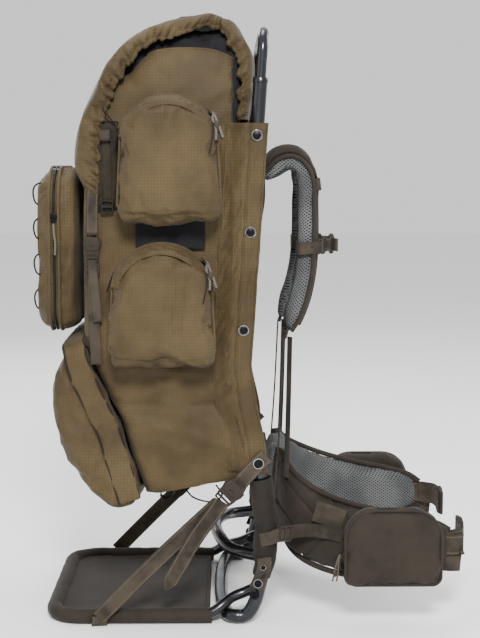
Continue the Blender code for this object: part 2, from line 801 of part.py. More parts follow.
def make_front_pockets():
    pocket = FRONT_POCKET
    corners = (0.040, 0.040, 0.060, 0.060)
    outline = rounded_outline(
        (-pocket["half"], pocket["bottom"]), (pocket["half"], pocket["top"]), corners, 5
    )
    half = (pocket["back"] - pocket["front"]) / 2
    slab = slab_object("front_pocket", outline, half, 0.024)
    add_part(face_y(slab, (pocket["back"] + pocket["front"]) / 2), "ripstop")
    x = pocket["half"] + SLIDER_GAP
    slider = box_object(
        "zip_slider_front", (x, -0.318, 0.640), (x + 0.0042, -0.308, 0.652), 0.001
    )
    add_part(slider, "plastic")
    carried(("front_zip", (x, -0.313, 0.646)), slider)
    slab = slab_object("bottom_pocket", BOTTOM_POCKET_LINE, BOTTOM_POCKET_HALF, 0.008)
    add_part(face_x(slab, 0.0), "ripstop")


def make_shelf_straps():
    start, end = Vector(SHELF_STRAP_TOP), Vector(SHELF_STRAP_END)
    along = (end - start).normalized()
    across = Vector((-along.y, along.x)) * WEBBING / 2
    for label, side in sides():
        x = side * SHELF_STRAP_X
        edges = []
        for t in (0.0, 0.5, 1.0):
            middle = start.lerp(end, t)
            edges.append(((x, *(middle - across)), (x, *(middle + across))))
        add_part(strip_object("shelf_strap_" + label, edges, 0.002), "webbing")
        buckle = box_object(
            "shelf_buckle_" + label, (-0.004, -0.015, -0.024), (0.004, 0.015, 0.024), 0.002
        )
        buckle.rotation_euler = (math.atan2(-along.x, along.y) - math.pi, 0.0, 0.0)
        buckle.location = (side * (SHELF_STRAP_X + 0.002), *SHELF_BUCKLE_CENTRE)
        add_part(buckle, "plastic")


def make_harness():
    panel = box_object(
        "harness_panel",
        (-PANEL_HALF_X, PANEL_Y[0], PANEL_Z[0]),
        (PANEL_HALF_X, PANEL_Y[1], PANEL_Z[1]),
        0.003,
    )
    parts = [add_part(panel, "nylon")]
    for label, side in sides():
        edges = []
        for x, y, z in smooth_line(PAD_LINE, 2):
            edges.append(
                ((side * (x - PAD_WIDTH / 2), y, z), (side * (x + PAD_WIDTH / 2), y, z))
            )
        pad = strip_object("shoulder_pad_" + label, edges, PAD_THICKNESS, 0.004)
        parts.append(add_part(pad, "mesh"))
        edges = []
        for x, y, z in LOWER_WEB_LINE:
            edges.append(((side * (x - 0.010), y, z), (side * (x + 0.010), y, z)))
        add_part(strip_object("lower_web_" + label, edges, 0.002), "webbing")
    carried(("harness_slide", (0.0, PANEL_Y[0], UPPER_BAR_Z)), *parts)

    line = [*STERNUM_LINE, *[(-x, y) for x, y in reversed(STERNUM_LINE[:-1])]]
    edges = [((x, y, STERNUM_Z - 0.011), (x, y, STERNUM_Z + 0.011)) for x, y in line]
    strap = strip_object("sternum_strap", edges, 0.003)
    y = STERNUM_LINE[-1][1]
    block = box_object(
        "sternum_buckle_block", (-0.024, y - 0.005, STERNUM_Z - 0.015), (0.024, y + 0.005, STERNUM_Z + 0.015)
    )
    combine(strap, block, "UNION")
    add_part(strap, "webbing")
    carried(("sternum_slide", (0.0, y, STERNUM_Z)), strap)


def make_belt():
    outline = rounded_outline((-LUMBAR_HALF_X, LUMBAR_Z[0]), (LUMBAR_HALF_X, LUMBAR_Z[1]), (0.02,) * 4, 3)
    lumbar = slab_object("lumbar_pad", outline, (LUMBAR_Y[1] - LUMBAR_Y[0]) / 2, 0.007)
    add_part(face_y(lumbar, sum(LUMBAR_Y) / 2), "mesh")
    for label, side in sides():
        edges = [((side * x, y, low), (side * x, y, high)) for x, y, low, high in WING_LINE]
        wing = add_part(strip_object("belt_wing_" + label, edges, WING_THICKNESS, 0.006), "nylon")
        edges = [((side * x, y, BELT_WEB_Z[0]), (side * x, y, BELT_WEB_Z[1])) for x, y in BELT_WEB_LINE]
        buckle = strip_object("belt_buckle_" + label, edges, BELT_WEB_THICKNESS, 0.0015)
        add_part(buckle, "webbing")
        pocket = BELT_POCKET
        corners = (0.018, 0.018, pocket["corner"], pocket["corner"])
        outline = rounded_outline(
            (pocket["rear"], pocket["bottom"]), (pocket["front"], pocket["top"]), corners, 5
        )
        half = (BELT_POCKET_OUTER_X - BELT_POCKET_INNER_X) / 2
        middle_x = (BELT_POCKET_OUTER_X + BELT_POCKET_INNER_X) / 2
        slab = face_x(slab_object("belt_pocket_" + label, outline, half, 0.007), side * middle_x)
        add_part(slab, "nylon")
        carried(("belt_hinge_" + label, (side * WING_HINGE[0], WING_HINGE[1], 0.195)), wing, buckle, slab)
        y = pocket["rear"] - SLIDER_GAP
        slider = box_object(
            "zip_slider_belt_" + label,
            (side * middle_x - 0.005, y - 0.0042, 0.098),
            (side * middle_x + 0.005, y, 0.110),
            0.001,
        )
        add_part(slider, "plastic")
        carried(("belt_zip_" + label, (side * middle_x, y, 0.104)), slider)


def main():
    clear_scene()
    new_collection(PART_COLLECTION)
    new_collection(CUTTER_COLLECTION)
    make_uprights()
    make_bars()
    make_pins()
    make_sleeves()
    make_top_hoop()
    make_shelf()
    make_bag()
    make_hood()
    make_side_pockets()
    make_front_pockets()
    make_shelf_straps()
    make_harness()
    make_belt()
    bpy.context.view_layer.update()


main()
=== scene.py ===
"""Looks of the external-frame hunting backpack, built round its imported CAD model.

Metres, in the CAD's own frame: +Z up, harness and hip belt towards +Y, pockets towards -Y,
and +X is the wearer's right. Sizes repeated here are the CAD's own.
"""

import math

import bmesh
import bpy
from mathutils import Matrix, Vector, noise


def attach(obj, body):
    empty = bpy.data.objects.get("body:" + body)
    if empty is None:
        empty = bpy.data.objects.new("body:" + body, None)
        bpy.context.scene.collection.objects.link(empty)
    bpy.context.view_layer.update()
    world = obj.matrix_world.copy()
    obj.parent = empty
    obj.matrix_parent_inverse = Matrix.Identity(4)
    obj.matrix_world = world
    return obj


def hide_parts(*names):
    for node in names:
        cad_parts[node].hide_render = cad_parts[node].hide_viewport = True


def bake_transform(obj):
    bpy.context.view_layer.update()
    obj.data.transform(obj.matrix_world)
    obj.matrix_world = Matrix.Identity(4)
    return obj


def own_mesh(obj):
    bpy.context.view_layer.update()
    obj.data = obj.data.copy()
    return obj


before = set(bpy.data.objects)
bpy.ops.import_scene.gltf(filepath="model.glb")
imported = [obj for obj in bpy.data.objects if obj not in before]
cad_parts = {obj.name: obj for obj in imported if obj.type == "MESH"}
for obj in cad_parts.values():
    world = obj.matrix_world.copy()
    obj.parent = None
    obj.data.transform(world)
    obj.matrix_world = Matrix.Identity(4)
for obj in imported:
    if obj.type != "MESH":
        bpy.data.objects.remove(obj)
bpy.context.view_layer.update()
SCENE = bpy.context.scene
SIDES = (("right", 1.0), ("left", -1.0))
X_AXIS, Y_AXIS, Z_AXIS = Vector((1, 0, 0)), Vector((0, 1, 0)), Vector((0, 0, 1))

# Camera of the photograph's view
CAMERA_PLACE = (2.305, -0.045, 0.731)
CAMERA_DOWN = math.radians(6.48)
CAMERA_TURN = math.radians(0.63)
CAMERA_LENS = 77.5

# Studio: each lamp with its place, its size and its watts
FLOOR_REACH = 12.0
FLOOR_Z = -0.0006
LAMP_AIM = Vector((0.0, 0.0, 0.5))
LAMPS = (
    ("key", (2.9, 0.1, 2.3), 0.8, 190.0),
    ("fill", (1.2, -2.6, 1.2), 1.6, 8.0),
    ("top", (-0.3, -0.2, 2.8), 1.2, 34.0),
    ("back", (-2.4, -1.4, 1.8), 1.6, 26.0),
    ("rim", (-1.6, 2.6, 2.0), 1.4, 34.0),
)

# Frame tubes
UPRIGHT_X = 0.176
UPRIGHT_RADIUS = 0.011
UPRIGHT_LINE = (
    (-0.0215, 0.0110),
    (-0.0175, 0.0110),
    (-0.0105, 0.0140),
    (-0.0040, 0.0220),
    (0.0015, 0.0330),
    (0.0060, 0.0460),
    (0.017, 0.098),
    (0.020, 0.155),
    (0.0135, 0.220),
    (0.004, 0.284),
    (-0.012, 0.355),
    (-0.020, 0.418),
    (-0.014, 0.505),
    (-0.0065, 0.613),
    (-0.0005, 0.705),
    (0.0030, 0.7567),
    (0.0065, 0.8083),
    (0.0100, 0.8600),
)
UPRIGHT_TOP_Z = 0.860
BAR_RADIUS = 0.008
BAR_END_X = 0.1645
BOW_RADIUS = 0.010
BOW_Z = 0.100
FOOT_Z = 0.011
HOOP_RADIUS = 0.008
HOOP_BAR_Z = 0.932
HOOP_CORNER = 0.032
PIN_HEIGHTS = (0.263, 0.473, 0.625, 0.773)
FLAP_X = 0.1895
PIVOT = (0.001, 0.050)
LEG_X = 0.1535

# Shelf
SHELF_TUBE_RADIUS = 0.0085
SHELF_TUBE_X = 0.1745
SHELF_TUBE_Z = 0.012
SHELF_FRONT_Y = -0.3225
SHELF_CORNER = 0.045
SHELF_REAR_Y = -0.0665
SHELF_HEIGHT = 0.0235
SHELF_PANEL_Z = 0.0072
SHELF_ROLL = 0.0122

# Cloth: how hard it is to stretch, and how long it is blown up
CLOTH_STIFFNESS = 12.0
CLOTH_FRAMES = 20

# Bag and hood, section by section, as in the CAD
BAG_GAP = 0.0125
BAG_SECTIONS = (
    (-0.172, 0.208, 0.240, 0.170, 1.0),
    (-0.191, 0.262, 0.275, 0.172, 1.0),
    (-0.209, 0.320, 0.330, 0.172, 1.0),
    (-0.232, 0.370, 0.372, 0.172, 1.0),
    (-0.254, 0.420, 0.420, 0.172, 1.0),
    (-0.266, 0.455, 0.455, 0.172, 1.0),
    (-0.267, 0.550, 0.550, 0.172, 1.0),
    (-0.266, 0.650, 0.650, 0.172, 1.0),
    (-0.262, 0.740, 0.740, 0.172, 0.6),
    (-0.253, 0.800, 0.800, 0.172, 0.0),
    (-0.233, 0.850, 0.850, 0.170, 0.0),
    (-0.206, 0.885, 0.888, 0.165, 0.0),
    (-0.170, 0.905, 0.905, 0.158, 0.0),
)
COLLAR_SECTIONS = (
    (-0.205, 0.790, 0.790, 0.158, 0.0),
    (-0.206, 0.830, 0.830, 0.158, 0.0),
    (-0.206, 0.865, 0.865, 0.155, 0.0),
    (-0.190, 0.895, 0.893, 0.148, 0.0),
    (-0.165, 0.916, 0.916, 0.140, 0.0),
    (-0.146, 0.930, 0.934, 0.124, 0.0),
    (-0.126, 0.933, 0.939, 0.094, 0.0),
    (-0.106, 0.926, 0.932, 0.050, 0.0),
)
FLARE_X = 0.1865
COLLAR_BACK_Y = -0.032
COLLAR_REAR_Y = -0.0225
HOOD_CORNER = 0.030
HEM_SHARE = 0.14
LID_SECTIONS = (
    (-0.0500, 0.9560, -0.0500, 0.937, 0.150),
    (-0.0670, 0.9605, -0.0750, 0.942, 0.150),
    (-0.0880, 0.9575, -0.0980, 0.936, 0.152),
    (-0.1200, 0.9520, -0.1250, 0.926, 0.155),
    (-0.1510, 0.9430, -0.1500, 0.920, 0.160),
    (-0.1880, 0.9230, -0.1750, 0.902, 0.168),
    (-0.2240, 0.8870, -0.2030, 0.868, 0.175),
    (-0.2540, 0.8290, -0.2250, 0.822, 0.178),
    (-0.2700, 0.7850, -0.2380, 0.780, 0.178),
    (-0.2780, 0.7450, -0.2420, 0.730, 0.177),
    (-0.2740, 0.7150, -0.2430, 0.700, 0.176),
    (-0.2620, 0.6900, -0.2440, 0.678, 0.175),
)
HOOD_BACK_SECTIONS = (
    (-0.0500, 0.9560, -0.0500, 0.936, 0.150),
    (-0.0310, 0.9475, -0.0400, 0.925, 0.152),
    (-0.0110, 0.9185, -0.0300, 0.905, 0.154),
    (-0.0010, 0.8965, -0.0220, 0.885, 0.158),
    (0.0005, 0.8720, -0.0200, 0.868, 0.160),
    (-0.0030, 0.8310, -0.0220, 0.831, 0.162),
    (-0.0080, 0.7970, -0.0240, 0.797, 0.166),
)

# Pockets
SIDE_POCKET_X = (0.176, 0.239)
SIDE_ZIP_X = 0.2080
UPPER_POCKET = {"middle": -0.1295, "half": 0.0775, "bottom": 0.643, "top": 0.831, "arch": 0.0855}
LOWER_POCKET = {"middle": -0.1412, "half": 0.0797, "bottom": 0.422, "top": 0.607, "arch": 0.0880}
SLIDER_ANGLE = math.radians(48)
FRONT_POCKET = {"half": 0.125, "bottom": 0.462, "top": 0.725, "back": -0.2815, "front": -0.344}
FRONT_ZIP_Y = -0.316
BOTTOM_POCKET_HALF = 0.170
BOTTOM_FLAP_WIDTH = 0.036
BOTTOM_POCKET_LINE = (
    (-0.278, 0.4415),
    (-0.2975, 0.429),
    (-0.310, 0.406),
    (-0.314, 0.379),
    (-0.3127, 0.347),
    (-0.3046, 0.294),
    (-0.289, 0.258),
    (-0.268, 0.229),
    (-0.251, 0.209),
    (-0.228, 0.190),
    (-0.212, 0.184),
    (-0.190, 0.188),
    (-0.1765, 0.202),
    (-0.1945, 0.262),
    (-0.2125, 0.320),
    (-0.2355, 0.370),
    (-0.2575, 0.420),
    (-0.2680, 0.444),
)

# Straps and cords
WEBBING = 0.025
CORD_STEPS = 5
LID_STRAP_X = 0.1765
LID_STRAP_Y = -0.2505
SHELF_STRAP_X = 0.1950
SHELF_STRAP_TOP = (-0.0550, 0.2005)
SHELF_STRAP_END = (-0.2460, 0.0145)
SHELF_BUCKLE_CENTRE = (-0.0360, 0.2190)

# Harness and belt
PAD_WIDTH = 0.062
PAD_VISIBLE = 0.031
PAD_LINE = (
    (0.060, 0.0340, 0.7270),
    (0.062, 0.0460, 0.7400),
    (0.066, 0.0640, 0.7435),
    (0.071, 0.0810, 0.7300),
    (0.077, 0.0890, 0.7050),
    (0.084, 0.0915, 0.6700),
    (0.092, 0.0920, 0.6200),
    (0.100, 0.0890, 0.5650),
    (0.108, 0.0800, 0.5200),
    (0.114, 0.0660, 0.4850),
    (0.118, 0.0550, 0.4680),
)
LOWER_WEB_LINE = (
    (0.120, 0.0490, 0.4540),
    (0.128, 0.0440, 0.3400),
    (0.136, 0.0390, 0.2600),
    (0.142, 0.0340, 0.2000),
)
STERNUM_Z = 0.597
CHEST_WEB = 0.022
STERNUM_LINE = (
    (0.118, 0.1050),
    (0.092, 0.1065),
    (0.062, 0.1120),
    (0.030, 0.1280),
    (0.000, 0.1320),
)
WING_THICKNESS = 0.026
WING_LINE = (
    (0.0800, 0.040, 0.132, 0.264),
    (0.0915, 0.050, 0.128, 0.262),
    (0.1180, 0.057, 0.112, 0.250),
    (0.1430, 0.070, 0.101, 0.236),
    (0.1620, 0.092, 0.091, 0.222),
    (0.1735, 0.122, 0.082, 0.208),
    (0.1770, 0.155, 0.076, 0.197),
    (0.1770, 0.200, 0.075, 0.186),
    (0.1770, 0.250, 0.082, 0.176),
    (0.1750, 0.290, 0.094, 0.165),
    (0.1680, 0.312, 0.106, 0.152),
)
BELT_WEB_LINE = ((0.1615, 0.3270), (0.1550, 0.3350), (0.1400, 0.3395), (0.0990, 0.3395))
BELT_WEB_Z = 0.130
BELT_WEB_WIDTH = 0.038
BELT_POCKET = {"rear": 0.142, "front": 0.294, "bottom": 0.073, "top": 0.194}
BELT_POCKET_X = (0.1912, 0.2250)


# ---------------------------------------------------------------- materials


def paint(red, green, blue):
    """A linear colour from one given as 0 to 255 in sRGB, toned down for the strong lamps."""
    return (*[0.50 * ((c / 255 + 0.055) / 1.055) ** 2.4 for c in (red, green, blue)], 1.0)


TAN = paint(114, 97, 67)
TAN_DARK = paint(78, 64, 41)
BROWN = paint(68, 60, 52)
BROWN_DARK = paint(49, 43, 37)
WEB_BROWN = paint(88, 78, 66)
MESH_GREY = paint(126, 127, 128)
TUBE_GREY = paint(72, 74, 79)


class Recipe:
    """One procedural material, built node by node round its Principled shader."""

    def __init__(self, name, roughness, metallic=0.0, sheen=0.0, coat=0.0):
        self.material = bpy.data.materials.new(name)
        self.material.use_nodes = True
        self.tree = self.material.node_tree
        self.shader = self.tree.nodes["Principled BSDF"]
        self.shader.inputs["Roughness"].default_value = roughness
        self.shader.inputs["Metallic"].default_value = metallic
        self.shader.inputs["Specular IOR Level"].default_value = 0.5 if metallic or coat else 0.12
        self.shader.inputs["Sheen Weight"].default_value = sheen
        self.shader.inputs["Coat Weight"].default_value = coat
        self.coords = self.add("ShaderNodeTexCoord")

    def add(self, kind, inputs=None, **settings):
        node = self.tree.nodes.new(kind)
        for key, value in settings.items():
            setattr(node, key, value)
        for key, value in (inputs or {}).items():
            self.feed(node.inputs[key], value)
        return node

    def feed(self, socket, value):
        if isinstance(value, bpy.types.NodeSocket):
            self.tree.links.new(value, socket)
        else:
            socket.default_value = value

    def math(self, operation, first, second=0.0, third=0.0):
        node = self.add("ShaderNodeMath", {0: first, 1: second, 2: third}, operation=operation)
        return node.outputs[0]

    def fade(self, value, low, high, start=0.0, end=1.0):
        """A smooth step from start to end as value runs from low to high."""
        inputs = {"Value": value, 1: low, 2: high, 3: start, 4: end}
        node = self.add("ShaderNodeMapRange", inputs, interpolation_type="SMOOTHSTEP")
        return node.outputs[0]

    def stretched(self, scale, source="Object"):
        node = self.add("ShaderNodeMapping", {"Vector": self.coords.outputs[source], "Scale": scale})
        return node.outputs[0]

    def noise(self, vector, scale, detail=3.0, roughness=0.5):
        inputs = {"Vector": vector, "Scale": scale, "Detail": detail, "Roughness": roughness}
        return self.add("ShaderNodeTexNoise", inputs).outputs[0]

    def mix(self, factor, first, second, blend="MIX"):
        node = self.add("ShaderNodeMix", data_type="RGBA", blend_type=blend)
        self.feed(node.inputs[0], factor)
        self.feed(node.inputs[6], first)
        self.feed(node.inputs[7], second)
        return node.outputs[2]

    def colour(self, socket):
        self.feed(self.shader.inputs["Base Color"], socket)

    def roughness(self, socket):
        self.feed(self.shader.inputs["Roughness"], socket)

    def bump(self, height, distance, strength=1.0):
        """Add relief of that height in metres over what is there already."""
        inputs = {"Height": height, "Distance": distance, "Strength": strength}
        node = self.add("ShaderNodeBump", inputs)
        if self.shader.inputs["Normal"].is_linked:
            self.feed(node.inputs["Normal"], self.shader.inputs["Normal"].links[0].from_socket)
        self.feed(self.shader.inputs["Normal"], node.outputs[0])


def grid_lines(recipe, spacing, low, high):
    """Thin crossing lines on every face, whichever way it looks."""
    places = recipe.add("ShaderNodeSeparateXYZ", {0: recipe.coords.outputs["Object"]})
    facing = recipe.add("ShaderNodeSeparateXYZ", {0: recipe.coords.outputs["Normal"]})
    lines = 0.0
    for axis in range(3):
        turns = recipe.math("DIVIDE", places.outputs[axis], spacing)
        line = recipe.fade(recipe.math("PINGPONG", turns, 0.5), low, high, 1.0, 0.0)
        flat = recipe.math("ABSOLUTE", facing.outputs[axis])
        line = recipe.math("MULTIPLY", line, recipe.fade(flat, 0.60, 0.80, 1.0, 0.0))
        lines = recipe.math("MAXIMUM", line, lines)
    return lines


def ripstop(name, light, dark):
    """Coated ripstop nylon: a grid of thicker threads over fine plain weave, faded in patches."""
    recipe = Recipe(name, 0.6, sheen=0.04)
    where = recipe.coords.outputs["Object"]
    patches = recipe.noise(where, 9.0, 4.0, 0.6)
    fine = recipe.noise(where, 300.0, 2.0, 0.6)
    lines = grid_lines(recipe, 0.0050, 0.06, 0.20)
    body = recipe.mix(recipe.fade(patches, 0.32, 0.70), dark, light)
    speckled = recipe.mix(recipe.math("MULTIPLY", fine, 0.45), body, dark)
    recipe.colour(recipe.mix(recipe.math("MULTIPLY", lines, 0.34), speckled, dark))
    recipe.roughness(recipe.fade(patches, 0.3, 0.7, 0.52, 0.66))
    recipe.bump(lines, 0.00030, 0.8)
    recipe.bump(recipe.noise(where, 70.0, 4.0, 0.6), 0.0012, 0.5)
    recipe.bump(recipe.noise(where, 900.0, 1.0), 0.00012, 0.5)
    return recipe.material


def weave(name, light, dark, spacing=0.0011):
    """Plain heavy nylon with a visible weave, rubbed lighter in places."""
    recipe = Recipe(name, 0.75, sheen=0.04)
    where = recipe.coords.outputs["Object"]
    patches = recipe.noise(where, 14.0, 4.0, 0.65)
    lines = grid_lines(recipe, spacing, 0.0, 0.5)
    body = recipe.mix(recipe.fade(patches, 0.3, 0.7), dark, light)
    recipe.colour(recipe.mix(recipe.math("MULTIPLY", lines, 0.22), body, dark))
    recipe.roughness(recipe.fade(patches, 0.3, 0.7, 0.68, 0.82))
    recipe.bump(lines, 0.0002, 0.5)
    return recipe.material


def webbing(name, light, dark, stitch=None):
    """Woven strap: ribs across, thick edges, and rows of stitches where it is sewn."""
    recipe = Recipe(name, 0.7, sheen=0.04)
    flat = recipe.add("ShaderNodeSeparateXYZ", {0: recipe.coords.outputs["UV"]})
    across, along = flat.outputs[0], flat.outputs[1]
    ribs = recipe.math("PINGPONG", recipe.math("DIVIDE", along, 0.0021), 0.5)
    chevron = recipe.math("PINGPONG", recipe.math("MULTIPLY", across, 6.0), 0.5)
    ribs = recipe.math("PINGPONG", recipe.math("ADD", recipe.math("MULTIPLY", ribs, 2.0), chevron), 0.5)
    edge = recipe.math("ABSOLUTE", recipe.math("SUBTRACT", across, 0.5))
    patches = recipe.noise(recipe.coords.outputs["Object"], 22.0, 3.0, 0.6)
    body = recipe.mix(recipe.fade(patches, 0.3, 0.7), dark, light)
    body = recipe.mix(recipe.math("MULTIPLY", ribs, 0.5), body, dark)
    if stitch:
        row = recipe.fade(recipe.math("ABSOLUTE", recipe.math("SUBTRACT", edge, 0.38)), 0.02, 0.05, 1, 0)
        dash = recipe.math("PINGPONG", recipe.math("DIVIDE", along, 0.0042), 0.5)
        row = recipe.math("MULTIPLY", row, recipe.fade(dash, 0.10, 0.18))
        body = recipe.mix(recipe.math("MULTIPLY", row, 0.8), body, stitch)
    recipe.colour(recipe.mix(recipe.fade(edge, 0.43, 0.49, 0.0, 0.6), body, dark))
    recipe.bump(ribs, 0.0003, 0.6)
    return recipe.material


def spacer_mesh(name, light, dark, cell=0.0076):
    """Knitted spacer mesh: a light net round dark holes set in staggered rows."""
    recipe = Recipe(name, 0.8)
    where = recipe.coords.outputs["Object"]
    place = recipe.add("ShaderNodeSeparateXYZ", {0: where})
    run = recipe.math("ADD", recipe.math("ABSOLUTE", place.outputs[0]), place.outputs[1])
    across = recipe.math("PINGPONG", recipe.math("DIVIDE", run, cell), 0.5)
    up = recipe.math("PINGPONG", recipe.math("DIVIDE", place.outputs[2], 0.66 * cell), 0.5)
    reach = []
    between = [recipe.math("SUBTRACT", 0.5, share) for share in (across, up)]
    for a, b in ((across, up), between):
        square = recipe.math("ADD", recipe.math("POWER", a, 2.0), recipe.math("POWER", b, 2.0))
        reach.append(recipe.math("SQRT", square))
    hole = recipe.fade(recipe.math("MINIMUM", *reach), 0.12, 0.26, 1.0, 0.0)
    patches = recipe.noise(where, 18.0, 2.0)
    net = recipe.mix(recipe.fade(patches, 0.3, 0.7, 0.0, 0.4), light, dark)
    recipe.colour(recipe.mix(hole, net, dark))
    recipe.bump(recipe.math("SUBTRACT", 1.0, hole), 0.0009, 0.7)
    return recipe.material


def gunmetal(name, tone):
    """Anodised tube: a glossy metal with soft wear and fine lengthwise scratches."""
    recipe = Recipe(name, 0.3, metallic=0.9, coat=0.25)
    patches = recipe.noise(recipe.coords.outputs["Object"], 16.0, 5.0, 0.65)
    scratches = recipe.noise(recipe.stretched((900.0, 900.0, 12.0)), 1.0, 2.0)
    worn = recipe.mix(recipe.fade(patches, 0.35, 0.75), tone, [c * 0.72 for c in tone[:3]] + [1.0])
    recipe.colour(recipe.mix(recipe.fade(scratches, 0.62, 0.72, 0.0, 0.25), worn, paint(170, 172, 176)))
    recipe.roughness(recipe.fade(patches, 0.3, 0.7, 0.22, 0.36))
    recipe.bump(scratches, 0.00004, 0.4)
    return recipe.material


def plain_metal(name, tone, roughness):
    recipe = Recipe(name, roughness, metallic=1.0)
    patches = recipe.noise(recipe.coords.outputs["Object"], 140.0, 4.0, 0.6)
    recipe.colour(recipe.mix(recipe.fade(patches, 0.3, 0.75), tone, [c * 0.6 for c in tone[:3]] + [1.0]))
    recipe.roughness(recipe.fade(patches, 0.3, 0.7, roughness - 0.06, roughness + 0.1))
    recipe.bump(patches, 0.00005, 0.4)
    return recipe.material


def moulded(name, tone):
    """Moulded nylon plastic with a faint spark-eroded grain."""
    recipe = Recipe(name, 0.45)
    grain = recipe.noise(recipe.coords.outputs["Object"], 1400.0, 2.0)
    patches = recipe.noise(recipe.coords.outputs["Object"], 60.0, 2.0)
    recipe.colour(recipe.mix(patches, tone, [c * 0.6 for c in tone[:3]] + [1.0]))
    recipe.roughness(recipe.fade(grain, 0.3, 0.7, 0.38, 0.52))
    recipe.bump(grain, 0.00008, 0.5)
    return recipe.material


def braid(name, light, dark):
    """Braided cord, its two sets of strands crossing along it."""
    recipe = Recipe(name, 0.7)
    flat = recipe.add("ShaderNodeSeparateXYZ", {0: recipe.coords.outputs["UV"]})
    turn = recipe.math("MULTIPLY", flat.outputs[0], 2.0)
    run = recipe.math("DIVIDE", flat.outputs[1], 0.0045)
    one = recipe.math("PINGPONG", recipe.math("ADD", run, turn), 0.5)
    two = recipe.math("PINGPONG", recipe.math("SUBTRACT", run, turn), 0.5)
    strands = recipe.math("MAXIMUM", one, two)
    recipe.colour(recipe.mix(recipe.math("MULTIPLY", strands, 1.6), dark, light))
    recipe.bump(strands, 0.0004, 0.8)
    return recipe.material


RIPSTOP = ripstop("tan_ripstop", TAN, TAN_DARK)
# A darker ripstop for painted shade: the recess before each upper side pocket, under the side pockets' storm
# flaps (their zip tapes too), and along the bottom flap's seams.
RIPSTOP_SHADE = ripstop("painted_shade_ripstop", paint(60, 50, 34), paint(38, 32, 22))
LINING = weave("charcoal_lining", paint(44, 43, 47), paint(27, 26, 29))
PACKCLOTH = weave("brown_packcloth", BROWN, BROWN_DARK)
STRAP = webbing("brown_webbing", WEB_BROWN, BROWN_DARK)
STRAP_SEWN = webbing("sewn_webbing", WEB_BROWN, BROWN_DARK, paint(108, 97, 82))
SPACER = spacer_mesh("grey_spacer_mesh", MESH_GREY, paint(22, 23, 25))
TUBE = gunmetal("gunmetal_tube", TUBE_GREY)
DARK_TUBE = gunmetal("dark_tube", paint(70, 70, 74))
NICKEL = plain_metal("nickel", paint(225, 225, 222), 0.22)
BLACK_METAL = plain_metal("blackened_steel", paint(46, 46, 48), 0.4)
PLASTIC = moulded("brown_plastic", paint(66, 58, 50))
BLACK_PLASTIC = moulded("black_plastic", paint(38, 37, 38))
CORD_GREY = braid("grey_braid", paint(146, 138, 127), paint(74, 67, 59))
CORD_BLACK = braid("black_braid", paint(50, 48, 46), paint(20, 20, 20))
CORD_BROWN = braid("brown_braid", paint(122, 112, 100), paint(70, 62, 54))
SLEEVE_CLOTH = weave("dark_sleeve_cloth", paint(60, 53, 47), paint(38, 34, 30))
RIPSTOP_WEB = webbing("dark_olive_webbing", paint(60, 52, 38), paint(40, 34, 24))


# ---------------------------------------------------------------- lines and surfaces


def smooth_line(points, count, closed=False):
    """Points along a smooth curve through the given ones, count to each stretch."""
    places = [Vector(p) for p in points]
    if closed:
        places = [places[-1], *places, places[0], places[1]]
    else:
        places = [2 * places[0] - places[1], *places, 2 * places[-1] - places[-2]]
    line = []
    for before, start, end, after in zip(places, places[1:], places[2:], places[3:]):
        for step in range(count):
            t = step / count
            line.append(
                0.5
                * (
                    2 * start
                    + (end - before) * t
                    + (2 * before - 5 * start + 4 * end - after) * t**2
                    + (3 * start - before - 3 * end + after) * t**3
                )
            )
    if not closed:
        line.append(places[-2].copy())
    return line


def smooth_rows(rows, count):
    """More rows between the given ones, on smooth curves through each column."""
    columns = [smooth_line(column, count) for column in zip(*rows)]
    return [list(row) for row in zip(*columns)]


def run_length(points):
    return sum((b - a).length for a, b in zip(points, points[1:]))


def even_line(points, step):
    """The same line with its points a fixed distance apart."""
    total = run_length(points)
    count = max(2, round(total / step))
    line, passed, index = [points[0].copy()], 0.0, 0
    for number in range(1, count):
        wanted = total * number / count
        stretch = (points[index + 1] - points[index]).length
        while passed + stretch < wanted:
            passed += stretch
            index += 1
            stretch = (points[index + 1] - points[index]).length
        line.append(points[index].lerp(points[index + 1], (wanted - passed) / stretch))
    line.append(points[-1].copy())
    return line


def arc_points(centre, radius, start, end, count):
    """Points of an arc in a plane, with the angles in degrees."""
    angles = (math.radians(start + (end - start) * i / count) for i in range(count + 1))
    return [(centre[0] + radius * math.cos(a), centre[1] + radius * math.sin(a)) for a in angles]


def sided(side, *points):
    """Points given for the right side of the pack, on that side or on the other."""
    return [Vector((side * x, y, z)) for x, y, z in points]


def upright_y(z):
    """Where the centre line of the uprights lies at a height."""
    for (y0, z0), (y1, z1) in zip(UPRIGHT_LINE, UPRIGHT_LINE[1:]):
        if z <= z1:
            break
    return y0 + (y1 - y0) * (z - z0) / (z1 - z0)


def ease(value, low, high):
    """A smooth step from 0 to 1 as value runs from low to high, either way round."""
    t = min(1.0, max(0.0, (value - low) / (high - low)))
    return t * t * (3 - 2 * t)


def crease(point, lengths, seed):
    """Soft ridges from -1 to 1, as long as lengths in x, y and z."""
    spot = Vector([c / size for c, size in zip(point, lengths)])
    return 1.0 - 2.6 * abs(noise.noise(spot + Vector((seed, 2.3 * seed, -seed))))


def slanted(point, degrees, lengths, seed):
    """Ridges that run at an angle in the side view; lengths are along them and across."""
    angle = math.radians(degrees)
    along = point.y * math.cos(angle) + point.z * math.sin(angle)
    across = -point.y * math.sin(angle) + point.z * math.cos(angle)
    return crease(Vector((point.x, along, across)), (0.2, *lengths), seed)


def mesh_object(name, shape, finish, sharp=40):
    """A linked object from a bmesh, shaded smooth with sharp rims."""
    mesh = bpy.data.meshes.new(name)
    shape.to_mesh(mesh)
    shape.free()
    mesh.materials.append(finish)
    for face in mesh.polygons:
        face.use_smooth = True
    mesh.set_sharp_from_angle(angle=math.radians(sharp))
    obj = bpy.data.objects.new(name, mesh)
    SCENE.collection.objects.link(obj)
    return obj


